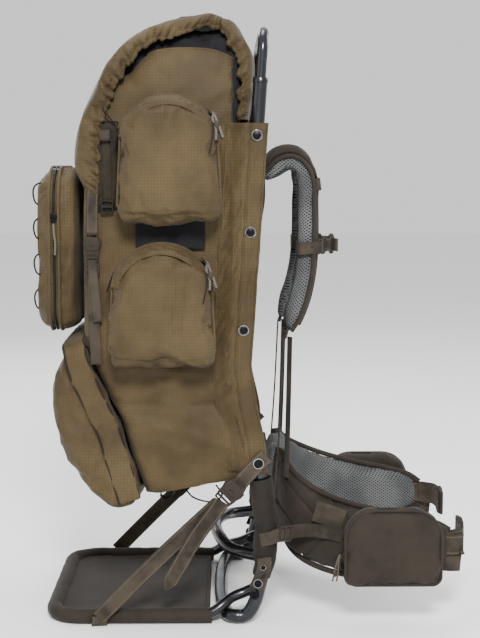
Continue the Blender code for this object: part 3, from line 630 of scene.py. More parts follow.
def grid_object(name, rows, finish, closed=False, caps=False, uvs=None, sharp=40):
    """A surface through rows of points, each row a line, or a ring where closed is set."""
    shape = bmesh.new()
    layer = shape.loops.layers.uv.new("UVMap") if uvs else None
    lines = [[shape.verts.new(place) for place in row] for row in rows]
    across = len(lines[0])
    for r, (near, far) in enumerate(zip(lines, lines[1:])):
        for i in range(across if closed else across - 1):
            k = (i + 1) % across
            face = shape.faces.new((near[i], near[k], far[k], far[i]))
            if layer:
                for loop, (row, column) in zip(face.loops, ((r, i), (r, i + 1), (r + 1, i + 1), (r + 1, i))):
                    loop[layer].uv = uvs[row][column]
    if caps:
        shape.faces.new(lines[0])
        shape.faces.new(lines[-1])
    bmesh.ops.recalc_face_normals(shape, faces=shape.faces)
    return mesh_object(name, shape, finish, sharp)


def applied(obj):
    """The object with its modifiers made part of its mesh."""
    bpy.context.view_layer.update()
    graph = bpy.context.evaluated_depsgraph_get()
    mesh = bpy.data.meshes.new_from_object(obj.evaluated_get(graph))
    obj.modifiers.clear()
    obj.data = mesh
    return obj


def thicken(obj, thickness, offset=-1.0):
    modifier = obj.modifiers.new("thickness", "SOLIDIFY")
    modifier.thickness = thickness
    modifier.offset = offset
    return applied(obj)


def subdivided(obj, levels=1):
    modifier = obj.modifiers.new("smooth", "SUBSURF")
    modifier.levels = levels
    modifier.render_levels = levels
    return applied(obj)


def pushed(obj, rule):
    """Move each point along its normal by what the rule gives for its place and normal."""
    normals = [v.normal.copy() for v in obj.data.vertices]
    for vertex, normal in zip(obj.data.vertices, normals):
        vertex.co += normal * rule(vertex.co, normal)
    obj.data.update()
    return obj


def joined(name, *objects):
    """One piece made of several, each keeping its own material."""
    bpy.context.view_layer.update()
    first = objects[0]
    with bpy.context.temp_override(active_object=first, selected_editable_objects=list(objects)):
        bpy.ops.object.join()
    first.name = name
    first.data.name = name
    return first


def mirrored(name, obj):
    """A copy of a piece on the other side of the pack."""
    mesh = obj.data.copy()
    mesh.transform(Matrix.Diagonal((-1.0, 1.0, 1.0, 1.0)))
    mesh.flip_normals()
    copy = bpy.data.objects.new(name, mesh)
    SCENE.collection.objects.link(copy)
    return copy


def both_sides(name, obj, body, nodes=()):
    """Fit a piece made for the right side, and its mirror image on the left."""
    obj.name = name + "_right"
    pair = (obj, mirrored(name + "_left", obj))
    for piece, (label, _) in zip(pair, SIDES):
        fit(piece, body.format(label), [node.format(label) for node in nodes])
    return pair


def fit(obj, body, nodes=()):
    """Make a piece part of the pack: what it rides on, and the CAD parts it stands for, which are hidden."""
    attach(obj, body)
    if nodes:
        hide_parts(*nodes)
    return obj


def bent(obj):
    """Make the piece's placement part of its mesh; it rides on no body."""
    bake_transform(obj)


# ---------------------------------------------------------------- tubes, cords and straps


def frames_along(path):
    """At each point the direction of the line and a sideways one, turning as little as it can."""
    last = len(path) - 1
    tangents = [(path[min(i + 1, last)] - path[max(i - 1, 0)]).normalized() for i in range(last + 1)]
    side = Z_AXIS if abs(tangents[0].z) < 0.8 else X_AXIS
    frames = []
    for tangent in tangents:
        side = (side - tangent * side.dot(tangent)).normalized()
        frames.append((tangent, side))
    return frames


def swept(name, path, section, finish, sideways=None, caps=True, sharp=50):
    """A ring of (across, up) points carried along a line, or a rule giving the ring by index."""
    path = [Vector(p) for p in path]
    rows, uvs, passed = [], [], 0.0
    for i, (place, (tangent, side)) in enumerate(zip(path, frames_along(path))):
        if sideways:
            side = Vector(sideways(i) if callable(sideways) else sideways)
            side = (side - tangent * side.dot(tangent)).normalized()
        up = tangent.cross(side)
        ring = section(i) if callable(section) else section
        rows.append([place + side * a + up * b for a, b in ring])
        passed += (place - path[i - 1]).length if i else 0.0
        uvs.append([(k / len(ring), passed) for k in range(len(ring) + 1)])
    return grid_object(name, rows, finish, closed=True, caps=caps, uvs=uvs, sharp=sharp)


def ring_section(radius, count=20, flat=1.0):
    angles = [2 * math.pi * i / count for i in range(count)]
    return [(radius * math.cos(a), radius * flat * math.sin(a)) for a in angles]


def tube(name, points, radius, finish, count=6, sides=20):
    return swept(name, smooth_line(points, count), ring_section(radius, sides), finish)


STRAP_OUTLINE = ((-1, 0), (-0.97, 1), (-0.5, 1), (0, 1), (0.5, 1), (0.97, 1), (1, 0), (0.97, -1))
STRAP_OUTLINE += ((0.5, -1), (0, -1), (-0.5, -1), (-0.97, -1))


def strap(name, path, across, width, thickness, finish):
    """Flat webbing along a line, its width lying in the given direction or rule of directions."""
    path = [Vector(p) for p in path]
    rows, uvs, passed = [], [], 0.0
    for i, (place, (tangent, _)) in enumerate(zip(path, frames_along(path))):
        side = Vector(across(i) if callable(across) else across)
        side = (side - tangent * side.dot(tangent)).normalized()
        up = tangent.cross(side)
        half = width(i) / 2 if callable(width) else width / 2
        rows.append([place + side * half * a + up * thickness / 2 * b for a, b in STRAP_OUTLINE])
        passed += (place - path[i - 1]).length if i else 0.0
        closing = [*STRAP_OUTLINE, STRAP_OUTLINE[0]]
        uvs.append([((a + 1) / 2, passed) for a, _ in closing])
    return grid_object(name, rows, finish, closed=True, caps=True, uvs=uvs, sharp=50)


def sewn(name, body, points, across, width, thickness, finish, steps=6, nodes=()):
    """Webbing on a smooth line through a few points, made part of the pack."""
    web = strap(name, smooth_line(points, steps), across, width, thickness, finish)
    return fit(web, body, nodes)


def free_cord(name, points, radius, finish, body):
    """A cord through the given points, riding on the given body."""
    path = smooth_line(points, CORD_STEPS)
    obj = swept(name, path, ring_section(radius, 8), finish)
    fit(obj, body)
    return obj


def stitches(name, path, face, finish, spacing=0.0052, dash=0.0034, radius=0.00042):
    """A row of sewn stitches along a line, standing just proud of the cloth."""
    line = even_line([Vector(p) for p in path], spacing)
    shape = bmesh.new()
    for start, end in zip(line, line[1:]):
        along = (end - start).normalized()
        out = Vector(face(start) if callable(face) else face).normalized()
        side = along.cross(out).normalized()
        middle = (start + end) / 2
        rings = []
        for t, size in ((-0.5, 0.45), (-0.3, 1.0), (0.3, 1.0), (0.5, 0.45)):
            centre = middle + along * dash * t
            ring = [
                shape.verts.new(centre + (side * math.cos(a) + out * math.sin(a)) * radius * size)
                for a in (math.pi * k / 3 for k in range(6))
            ]
            rings.append(ring)
        for near, far in zip(rings, rings[1:]):
            for i in range(6):
                k = (i + 1) % 6
                shape.faces.new((near[i], near[k], far[k], far[i]))
        shape.faces.new(rings[0])
        shape.faces.new(rings[-1])
    bmesh.ops.recalc_face_normals(shape, faces=shape.faces)
    return mesh_object(name, shape, finish)


# ---------------------------------------------------------------- plates, turned pieces and boxes


def placed(obj, right, up, out, centre):
    """Turn an object made in its own X, Y and Z to these directions, and set it down."""
    matrix = Matrix((right, up, out)).transposed().to_4x4()
    obj.data.transform(Matrix.Translation(centre) @ matrix)
    return obj


def plate(name, outlines, half_thickness, bevel, finish):
    """A flat plate from outer and inner outlines in X and Y, with rounded rims."""
    curve = bpy.data.curves.new(name, "CURVE")
    curve.dimensions = "2D"
    curve.fill_mode = "BOTH"
    curve.extrude = half_thickness - bevel
    curve.bevel_depth = bevel
    curve.bevel_resolution = 2
    curve.offset = -bevel
    for outline in outlines:
        spline = curve.splines.new("POLY")
        spline.points.add(len(outline) - 1)
        for point, (x, y) in zip(spline.points, outline):
            point.co = (x, y, 0.0, 1.0)
        spline.use_cyclic_u = True
    source = bpy.data.objects.new(name + "_outline", curve)
    SCENE.collection.objects.link(source)
    bpy.context.view_layer.update()
    graph = bpy.context.evaluated_depsgraph_get()
    mesh = bpy.data.meshes.new_from_object(source.evaluated_get(graph))
    bpy.data.objects.remove(source, do_unlink=True)
    shape = bmesh.new()
    shape.from_mesh(mesh)
    bpy.data.meshes.remove(mesh)
    bmesh.ops.remove_doubles(shape, verts=shape.verts, dist=0.00001)
    bmesh.ops.recalc_face_normals(shape, faces=shape.faces)
    return mesh_object(name, shape, finish, sharp=35)


def rounded_outline(low, high, corners, count=4):
    """A rectangle whose four corner radii run from the low one round to the last."""
    if isinstance(corners, float):
        corners = (corners,) * 4
    centres = (
        (low[0] + corners[0], low[1] + corners[0], 180),
        (high[0] - corners[1], low[1] + corners[1], 270),
        (high[0] - corners[2], high[1] - corners[2], 0),
        (low[0] + corners[3], high[1] - corners[3], 90),
    )
    points = []
    for (x, y, start), radius in zip(centres, corners):
        points += arc_points((x, y), radius, start, start + 90, count)
    return points


def turned(name, profile, finish, axis, centre, steps=28):
    """A turned piece from its profile of (height along the axis, radius)."""
    side = Z_AXIS if abs(Vector(axis).z) < 0.8 else X_AXIS
    side = (side - Vector(axis) * side.dot(Vector(axis))).normalized()
    up = Vector(axis).cross(side)
    rows = []
    for height, radius in profile:
        base = Vector(centre) + Vector(axis) * height
        turns = (2 * math.pi * i / steps for i in range(steps))
        rows.append([base + (side * math.cos(a) + up * math.sin(a)) * radius for a in turns])
    return grid_object(name, rows, finish, closed=True, caps=True, sharp=35)


def slider(name, place, out, along):
    """A zip slider with its bridge and a short metal pull tab."""
    place, out, along = Vector(place), Vector(out).normalized(), Vector(along).normalized()
    axes = (along.cross(out).normalized(), along, out)
    outline = [(-0.0040, -0.0060), (0.0040, -0.0060), (0.0052, 0.0010), (0.0036, 0.0060)]
    outline += [(-0.0036, 0.0060), (-0.0052, 0.0010)]
    base = placed(plate(name, [outline], 0.0011, 0.0004, BLACK_METAL), *axes, place + out * 0.0014)
    line = [(0, -0.0042, 0.002), (0, -0.0036, 0.0038), (0, 0.0036, 0.0038), (0, 0.0042, 0.002)]
    bridge = swept(name + "_bridge", smooth_line(line, 4), ring_section(0.0009, 8), BLACK_METAL)
    placed(bridge, *axes, place)
    rim = rounded_outline((-0.0024, -0.0115), (0.0024, -0.0005), 0.0016)
    hole = rounded_outline((-0.0011, -0.0100), (0.0011, -0.0075), 0.0010)
    tab = plate(name + "_tab", [rim, hole], 0.0006, 0.0002, BLACK_METAL)
    placed(tab, *axes, place + out * 0.0032)
    return joined(name, base, bridge, tab)


def buckle(name, centre, right, up, out, width=WEBBING):
    """A side-release buckle: the body, the pronged half inside it, and its ladder bars."""
    half = width / 2 + 0.003
    right_side = [(half - 0.003, 0.022), (half - 0.001, 0.016), (half + 0.0015, 0.006), (half, -0.002)]
    right_side += [(half - 0.003, -0.005)]
    rim = [*[(-x, y) for x, y in reversed(right_side)], *right_side]
    rim = [*rim[1:], rim[0]]
    slot_hole = rounded_outline((-half + 0.004, 0.0165), (half - 0.004, 0.0195), 0.0012)
    body = plate(name + "_body", [rim, slot_hole], 0.0042, 0.0014, PLASTIC)
    right_side = [(half - 0.0006, 0.013), (half + 0.0026, 0.011), (half + 0.003, 0.004)]
    right_side += [(half + 0.0005, -0.004), (half, -0.012), (half - 0.002, -0.0225)]
    rim = [*[(-x, y) for x, y in reversed(right_side)], *right_side]
    rim = [*rim[2:], *rim[:2]]
    slots = [
        rounded_outline((-half + 0.004, y), (half - 0.004, y + 0.003), 0.0012) for y in (-0.0205, -0.0145)
    ]
    prongs = plate(name + "_prongs", [rim, *slots], 0.0026, 0.0009, PLASTIC)
    bar_line = [(-half + 0.003, -0.0162, 0.0022), (half - 0.003, -0.0162, 0.0022)]
    bar = swept(name + "_bar", bar_line, ring_section(0.0013, 8), PLASTIC)
    rib_line = [(-half * 0.35, 0.001, 0.0042), (0.0, 0.0035, 0.0046), (half * 0.35, 0.001, 0.0042)]
    rib = swept(name + "_rib", smooth_line(rib_line, 4), ring_section(0.0007, 8), PLASTIC)
    piece = joined(name, body, prongs, bar, rib)
    return placed(piece, Vector(right), Vector(up), Vector(out), Vector(centre))


def ladder(name, centre, right, up, out, width=WEBBING, tone=None):
    """A ladder lock or strap keeper: a frame with a middle bar."""
    half = width / 2 + 0.003
    rim = rounded_outline((-half, -0.010), (half, 0.010), 0.003)
    low, high = -half + 0.003, half - 0.003
    holes = [rounded_outline((low, y), (high, y + 0.0055), 0.0014) for y in (-0.0075, 0.002)]
    obj = plate(name, [rim, *holes], 0.0022, 0.0008, tone or PLASTIC)
    return placed(obj, Vector(right), Vector(up), Vector(out), Vector(centre))


def grommet(name, spot, out, size, hole=True):
    """A nickel eyelet, with a dark disc of painted shade in its hole, or room for a pin."""
    profile = ((-0.0004, size), (0.0009, size * 0.98), (0.0016, size * 0.90), (0.0016, size * 0.82))
    profile += ((0.0006, size * 0.76), (0.0002, size * 0.74))
    fit(turned(name, profile, NICKEL, out, spot), "pack")
    if hole:
        # Painted shade: a dark disc sunk in the eyelet's hole.
        profile = ((0.0, size * 0.76), (0.0007, size * 0.76), (0.0008, size * 0.4))
        fit(turned(name + "_hole_shade", profile, BLACK_METAL, out, spot), "pack")


# ---------------------------------------------------------------- cloth simulation


def slab(name, outline, low, high, axis, finish, rounding=0.006):
    """A closed block from an outline, between two places along X or Y."""
    half = (high - low) / 2
    obj = plate(name, [outline], half, rounding, finish)
    if axis == "X":
        return placed(obj, Y_AXIS, Z_AXIS, X_AXIS, ((low + high) / 2, 0.0, 0.0))
    return placed(obj, X_AXIS, Z_AXIS, -Y_AXIS, (0.0, (low + high) / 2, 0.0))


def inflated(obj, voxel, pressure, cap, slack=0.0, held=None):
    """Blow a closed form up as cloth, holding what the rule says, and keep the result."""
    remesh = obj.modifiers.new("even", "REMESH")
    remesh.mode = "VOXEL"
    remesh.voxel_size = voxel
    remesh.use_smooth_shade = True
    applied(obj)
    start = [v.co.copy() for v in obj.data.vertices]
    cloth = obj.modifiers.new("cloth", "CLOTH")
    settings = cloth.settings
    settings.quality = 5
    settings.mass = 0.15
    settings.tension_stiffness = CLOTH_STIFFNESS
    settings.compression_stiffness = CLOTH_STIFFNESS
    settings.shear_stiffness = CLOTH_STIFFNESS / 3
    settings.bending_stiffness = 0.4
    settings.use_pressure = True
    settings.uniform_pressure_force = pressure
    settings.shrink_min = -slack
    settings.effector_weights.gravity = 0.0
    if held:
        group = obj.vertex_groups.new(name="held")
        for vertex in obj.data.vertices:
            group.add([vertex.index], held(vertex.co), "REPLACE")
        settings.vertex_group_mass = "held"
        settings.pin_stiffness = 2.0
    cloth.point_cache.frame_start = 1
    cloth.point_cache.frame_end = CLOTH_FRAMES
    for number in range(1, CLOTH_FRAMES + 1):
        SCENE.frame_set(number)
    graph = bpy.context.evaluated_depsgraph_get()
    result = [v.co.copy() for v in obj.evaluated_get(graph).data.vertices]
    obj.modifiers.clear()
    obj.vertex_groups.clear()
    SCENE.frame_set(1)
    for vertex, before, after in zip(obj.data.vertices, start, result):
        move = after - before
        if move.length > cap:
            move = move.normalized() * cap
        vertex.co = before + move
    obj.data.update()
    modifier = obj.modifiers.new("relax", "SMOOTH")
    modifier.factor = 0.5
    modifier.iterations = 2
    applied(obj)
    return subdivided(obj)


# ---------------------------------------------------------------- camera and studio


def make_camera():
    data = bpy.data.cameras.new("view_from_the_right")
    data.lens = CAMERA_LENS
    camera = bpy.data.objects.new("view_from_the_right", data)
    camera.location = CAMERA_PLACE
    level = math.cos(CAMERA_DOWN)
    look = Vector((-math.cos(CAMERA_TURN) * level, math.sin(CAMERA_TURN) * level, -math.sin(CAMERA_DOWN)))
    camera.rotation_euler = look.to_track_quat("-Z", "Y").to_euler()
    SCENE.collection.objects.link(camera)
    SCENE.camera = camera


def make_studio():
    recipe = Recipe("pale_floor", 0.9)
    tone = recipe.noise(recipe.coords.outputs["Object"], 2.0, 2.0)
    recipe.colour(recipe.mix(tone, (0.92, 0.92, 0.92, 1.0), (0.95, 0.95, 0.94, 1.0)))
    shape = bmesh.new()
    corners = [(x * FLOOR_REACH, y * FLOOR_REACH, FLOOR_Z) for x, y in ((-1, -1), (1, -1), (1, 1), (-1, 1))]
    shape.faces.new([shape.verts.new(corner) for corner in corners])
    mesh_object("studio_floor", shape, recipe.material)
    world = bpy.data.worlds.new("studio")
    world.use_nodes = True
    world.node_tree.nodes["Background"].inputs["Color"].default_value = (1.0, 1.0, 1.0, 1.0)
    world.node_tree.nodes["Background"].inputs["Strength"].default_value = 1.0
    SCENE.world = world
    for name, place, size, power in LAMPS:
        light = bpy.data.lights.new(name, "AREA")
        light.shape = "DISK"
        light.size = size
        light.energy = power
        lamp = bpy.data.objects.new(name, light)
        lamp.location = place
        lamp.rotation_euler = (LAMP_AIM - Vector(place)).to_track_quat("-Z", "Y").to_euler()
        SCENE.collection.objects.link(lamp)


# ---------------------------------------------------------------- frame


def make_uprights():
    """The bent uprights, each with the collar at its top that the hoop slides in."""
    line = [Vector((0.0, y, z)) for y, z in UPRIGHT_LINE]
    axis = (line[-1] - line[-2]).normalized()
    profile = ((-0.007, UPRIGHT_RADIUS), (-0.0065, 0.0119), (0.0, 0.0119), (0.0012, 0.0112), (0.0012, 0.0086))
    for label, side in SIDES:
        shift = Vector((side * UPRIGHT_X, 0.0, 0.0))
        obj = tube("frame_upright_" + label, [p + shift for p in line], UPRIGHT_RADIUS, TUBE, sides=28)
        fit(obj, "pack", ["upright_" + label])
        ring = turned("upright_rim_" + label, profile, DARK_TUBE, axis, line[-1] + shift)
        fit(ring, "pack")


def across_frame(half, middle):
    """A line over the whole width from its right half and its middle point."""
    return [*half, middle, *[(-x, y, z) for x, y, z in reversed(half)]]


def make_bars():
    """The cross bars, the bow bar that holds the shelf up, and the foot."""
    for name, z in (("crossbar_upper", 0.700), ("crossbar_middle", 0.450)):
        y = upright_y(z)
        points = across_frame([(-BAR_END_X, y, z), (-0.09, y - 0.003, z)], (0.0, y - 0.003, z))
        fit(tube("frame_" + name, points, BAR_RADIUS, TUBE), "pack", [name])
    y = upright_y(BOW_Z)
    half = [(BAR_END_X, y, BOW_Z), (0.158, y, BOW_Z), (0.146, y - 0.008, 0.101)]
    half += [(0.115, -0.034, 0.104), (0.06, -0.054, 0.110)]
    points = across_frame(half, (0.0, -0.061, 0.112))
    fit(tube("frame_bow_bar", points, BOW_RADIUS, DARK_TUBE, sides=24), "pack", ["bow_bar"])
    half = [(UPRIGHT_X, -0.0215, FOOT_Z), (UPRIGHT_X, -0.0275, FOOT_Z), (0.171, -0.0370, FOOT_Z)]
    half += [(0.150, -0.0435, FOOT_Z), (0.08, -0.0505, FOOT_Z)]
    points = across_frame(half, (0.0, -0.052, FOOT_Z))
    fit(tube("frame_foot", points, FOOT_Z, TUBE, sides=24), "pack", ["bottom_hoop"])


def make_top_hoop():
    """The hoop whose legs slide in the tops of the uprights."""
    top = Vector((0.0, *UPRIGHT_LINE[-1]))
    slope = top - Vector((0.0, *UPRIGHT_LINE[-2]))
    corner = arc_points((UPRIGHT_X - HOOP_CORNER, HOOP_BAR_Z - HOOP_CORNER), HOOP_CORNER, 0, 90, 12)
    half = [(UPRIGHT_X, 0.790), (UPRIGHT_X, 0.84), *corner]
    outline = half + [(-x, z) for x, z in reversed(half)]
    points = [Vector((x, (top + slope * (z - UPRIGHT_TOP_Z) / slope.z).y, z)) for x, z in outline]
    obj = swept("frame_top_hoop", points, ring_section(HOOP_RADIUS, 24), TUBE)
    fit(obj, "hoop", ["top_hoop"])


def make_pins():
    """A dark pin with a nickel grommet round it, at each hole of the frame flaps."""
    face = FLAP_X + 0.0017
    for label, side in SIDES:
        out = Vector((side, 0.0, 0.0))
        for number, z in enumerate(PIN_HEIGHTS, 1):
            spot = Vector((side * face, upright_y(z), z))
            profile = ((-0.022, 0.003), (0.0002, 0.003), (0.0002, 0.0064), (0.0012, 0.0060), (0.0018, 0.0040))
            pin = turned(f"clevis_pin_{label}_{number}", profile, BLACK_METAL, out, spot)
            fit(pin, "pack", [f"frame_pin_{label}_{number}"])
            grommet(f"grommet_{label}_{number}", spot, out, 0.0090, hole=False)
        spot = Vector((side * UPRIGHT_X, *PIVOT))
        profile = ((-0.036, 0.0), (-0.036, 0.0065), (-0.031, 0.0065), (-0.031, 0.004), (0.0116, 0.004))
        profile += ((0.0116, 0.0082), (0.0140, 0.0080), (0.0150, 0.0066), (0.0150, 0.0034), (0.0128, 0.0028))
        bolt = turned("pivot_bolt_" + label, profile, BLACK_METAL, out, spot)
        fit(bolt, "pack", ["shelf_bolt_" + label])


def make_sleeves():
    """Fabric sleeves sewn round the lower uprights, and the tab with two grommets below each."""
    low, high = 0.078, 0.236
    heights = [low + (high - low) * i / 60 for i in range(61)]
    path = [Vector((UPRIGHT_X, upright_y(z), z)) for z in heights]

    def section(i):
        return ring_section(0.0180 - 0.0040 * ease(heights[i], 0.115, low), 32)

    def folds(p, n):
        return 0.0012 * slanted(p, 35, (0.07, 0.018), 4.0) + 0.0008 * crease(p, (0.02, 0.02, 0.04), 7.0)

    obj = swept("leg_cover", path, section, SLEEVE_CLOTH, caps=False)
    pushed(obj, folds)
    thicken(obj, 0.0014)
    both_sides("leg_cover", obj, "pack", ["leg_sleeve_{}"])
    line = ((0.0186, 0.0160, 0.112), (0.0182, 0.0170, 0.102), (0.0150, 0.0140, 0.086))
    line += ((0.0132, 0.0070, 0.068), (0.0132, 0.0035, 0.0605))
    eyelets = ((0.0190, 0.0150, 0.0965, 0.0050), (0.0146, 0.0068, 0.0690, 0.0078))
    for label, side in SIDES:
        path = smooth_line(sided(side, *[(UPRIGHT_X + x, y, z) for x, y, z in line]), 6)
        tab = strap("sleeve_tab_" + label, path, (0, 0.93, 0.36), 0.023, 0.0020, STRAP)
        fit(tab, "pack")
        for number, (x, y, z, size) in enumerate(eyelets, 1):
            spot = (side * (UPRIGHT_X + x), y, z)
            grommet(f"sleeve_grommet_{label}_{number}", spot, Vector((side, 0.0, 0.0)), size)


# ---------------------------------------------------------------- shelf


def shelf_corner():
    return arc_points((SHELF_TUBE_X - SHELF_CORNER, SHELF_FRONT_Y + SHELF_CORNER), SHELF_CORNER, 0, -90, 10)


def shelf_tube_points():
    """The shelf's tube from its right pivot round the front to its left one."""
    leg = [
        (LEG_X, 0.0110, 0.0545),
        (LEG_X, PIVOT[0], PIVOT[1]),
        (LEG_X, -0.0160, 0.0425),
        (0.1590, -0.0340, 0.0365),
        (0.1690, -0.0480, 0.0285),
        (SHELF_TUBE_X, -0.0640, 0.0180),
        (SHELF_TUBE_X, -0.0820, SHELF_TUBE_Z),
    ]
    half = smooth_line(leg, 6) + [Vector((x, y, SHELF_TUBE_Z)) for x, y in shelf_corner()]
    return half + [Vector((-p.x, p.y, p.z)) for p in reversed(half)]


def make_shelf_border():
    """The rolled edge of the shelf's cover, round its tube."""
    half = [(SHELF_TUBE_X, SHELF_REAR_Y), (SHELF_TUBE_X, -0.16), *shelf_corner()]
    outline = half + [(-x, y) for x, y in reversed(half)]
    path = even_line([Vector((x, y, SHELF_HEIGHT / 2)) for x, y in outline], 0.006)
    ring = ring_section(SHELF_ROLL, 24, SHELF_HEIGHT / 2 / SHELF_ROLL)

    def outward(i):
        return Z_AXIS.cross(path[min(i + 1, len(path) - 1)] - path[max(i - 1, 0)])

    def gathers(p, n):
        if n.z < -0.6:
            return 0.0
        corner = ease(abs(p.x), 0.12, 0.17) * ease(p.y, -0.27, -0.31)
        ribs = 1 + math.sin(160 * p.x + 160 * p.y)
        return 0.0008 * crease(p, (0.03, 0.03, 0.02), 3.0) - 0.0006 * corner * ribs

    roll = swept("shelf_border", path, ring, PACKCLOTH, sideways=outward)
    pushed(roll, gathers)
    fit(roll, "shelf", ["shelf_cover"])


def make_shelf_panel():
    """The cloth stretched between the shelf's rolled edges, sagging a little."""
    inner = SHELF_TUBE_X - 0.004
    rear, front = SHELF_REAR_Y - 0.003, SHELF_FRONT_Y + 0.004
    round_from = SHELF_FRONT_Y + SHELF_CORNER
    steps = 56
    half_count = 32
    rows = []
    for i in range(steps + 1):
        y = rear + (front - rear) * i / steps
        reach = inner
        if y < round_from:
            rise = math.sqrt(max(0.0, (SHELF_CORNER - 0.004) ** 2 - (round_from - y) ** 2))
            reach = SHELF_TUBE_X - SHELF_CORNER + rise
        row = []
        for k in range(2 * half_count + 1):
            x = reach * (k / half_count - 1)
            rim = max(abs(x) / inner, (abs(y - (rear + front) / 2) / (abs(rear - front) / 2)) ** 1.5)
            fold = 0.0010 * crease(Vector((x, y, 0)), (0.09, 0.05, 1.0), 11.0)
            row.append(Vector((x, y, SHELF_PANEL_Z + 0.0042 - 0.0035 * ease(rim, 1.0, 0.6) + fold)))
        rows.append(row)
    panel = thicken(grid_object("shelf_panel", rows, PACKCLOTH), 0.0014)
    fit(panel, "shelf")


def make_shelf():
    rail = swept("shelf_rail", shelf_tube_points(), ring_section(SHELF_TUBE_RADIUS, 24), DARK_TUBE)
    fit(rail, "shelf", ["shelf_tube"])
    make_shelf_border()
    make_shelf_panel()
    for label, side in SIDES:
        for number, inset in enumerate((0.0145, 0.0265), 1):
            x = side * (SHELF_TUBE_X - inset)
            places = (SHELF_REAR_Y - 0.004 - 0.21 * t for t in (0.0, 0.5, 1.0))
            line = [Vector((x, y, SHELF_PANEL_Z + 0.0058)) for y in places]
            fit(stitches(f"shelf_stitch_{label}_{number}", line, Z_AXIS, STRAP), "shelf")
    rear_hem = [Vector((x, SHELF_REAR_Y - 0.010, SHELF_PANEL_Z + 0.0062)) for x in (-0.155, 0.0, 0.155)]
    fit(stitches("shelf_stitch_rear", rear_hem, Z_AXIS, STRAP), "shelf")


# ---------------------------------------------------------------- bag


def bag_ring(front_y, front_z, back_z, half, flare, count, back_y=COLLAR_BACK_Y):
    """One section of the bag as an even ring of points, from the middle of its back."""
    if flare:
        back_y = (upright_y(back_z) - BAG_GAP) * flare + COLLAR_BACK_Y * (1 - flare)
    wide = half + (FLARE_X - half) * flare
    right = [
        (0.080, back_y - 0.001),
        (half - 0.024, back_y),
        (half - 0.004, back_y - 0.001),
        (wide, back_y - 0.007),
        (wide - 0.001, back_y - 0.013),
        (half + (wide - half) * 0.4, back_y - 0.021),
        (half + 0.0005, back_y - 0.029),
        (half + 0.001, (front_y + 2 * back_y) / 3),
        (half + 0.001, (2 * front_y + back_y) / 3),
        (half, front_y + 0.045),
        (half - 0.004, front_y + 0.018),
        (half - 0.017, front_y + 0.004),
        (half - 0.037, front_y),
        (0.070, front_y - 0.002),
    ]
    outline = [(0.0, back_y - 0.001), *right, (0.0, front_y - 0.002), *[(-x, y) for x, y in reversed(right)]]
    depth = front_y - back_y
    ring = [Vector((x, y, back_z + (front_z - back_z) * (y - back_y) / depth)) for x, y in outline]
    line = smooth_line([*ring, ring[0]], 6)
    return even_line(line, run_length(line) / count)[:count]


def make_bag():
    count = 190
    rows = smooth_rows([bag_ring(*section, count) for section in BAG_SECTIONS], 10)
    top_z = BAG_SECTIONS[-1][1]
    for row in rows:
        for p in row:
            reach = abs(p.y + 0.105) / 0.07
            p.z -= 0.014 * ease(p.z, top_z - 0.10, top_z) * min(reach, 1.2) ** 3
    floor = [[Vector((0.0, -0.10, 0.226)).lerp(p, t) for p in rows[0]] for t in (0.02, 0.35, 0.7, 0.9)]
    shell = grid_object("bag_shell", floor + rows, RIPSTOP, closed=True)

    def folds(p, n):
        side = ease(abs(n.x), 0.5, 0.9)
        low = ease(p.z, 0.42, 0.30)
        size = 0.0030 * side * low * slanted(p, -14, (0.12, 0.034), 5.0)
        size += 0.0026 * side * slanted(p, 40, (0.16, 0.040), 9.0) * ease(p.z, 0.91, 0.83)
        size += 0.0018 * side * slanted(p, -10, (0.12, 0.020), 15.0) * ease(abs(p.z - 0.40), 0.05, 0.01)
        size += 0.0014 * crease(p, (0.07, 0.05, 0.06), 1.0)
        seam = p.z - 0.352 - 0.05 * (p.y + 0.12) ** 2 / 0.09
        size += 0.0034 * side * ease(seam, 0.0, -0.012) * ease(p.z, 0.25, 0.31)
        return size - 0.0030 * ease(abs(seam), 0.005, 0.0) * side

    pushed(shell, folds)
    thicken(shell, 0.0025)
    fit(shell, "pack", ["main_bag"])
    rim = [p + Vector((0, 0, 0.001)) for p in rows[-1]]
    rim_ring = swept("bag_rim", even_line([*rim, rim[0]], 0.004), ring_section(0.0020, 8), RIPSTOP)
    fit(rim_ring, "pack")


def make_collar():
    """The dark drawstring collar inside the bag's mouth, gathered at the top."""
    count = 280
    rows = smooth_rows([bag_ring(*section, count, COLLAR_REAR_Y) for section in COLLAR_SECTIONS], 8)
    total = len(rows) - 1
    for r, row in enumerate(rows):
        middle = sum(row, Vector()) / len(row)
        share = ease(r / total, 0.35, 1.0)
        for i, p in enumerate(row):
            wave = noise.noise(Vector((i * 0.16, r * 0.05, 1.7))) + 0.5 * noise.noise(
                Vector((i * 0.37, r * 0.05, 4.4))
            )
            out = (p - middle).normalized()
            row[i] = p + out * 0.0100 * wave * (0.1 + 0.9 * share) + Z_AXIS * 0.006 * wave * share
    collar = grid_object("collar", rows, LINING, closed=True)
    pushed(collar, lambda p, n: 0.0016 * crease(p, (0.03, 0.03, 0.02), 6.0))
    thicken(collar, 0.0010)
    fit(collar, "pack")


def flap_x(y, z):
    """How far out the frame flap lies, from the bag's side to the upright."""
    behind = y - upright_y(z)
    return 0.1742 + (FLAP_X - 0.1742) * ease(behind, -0.045, -0.014)


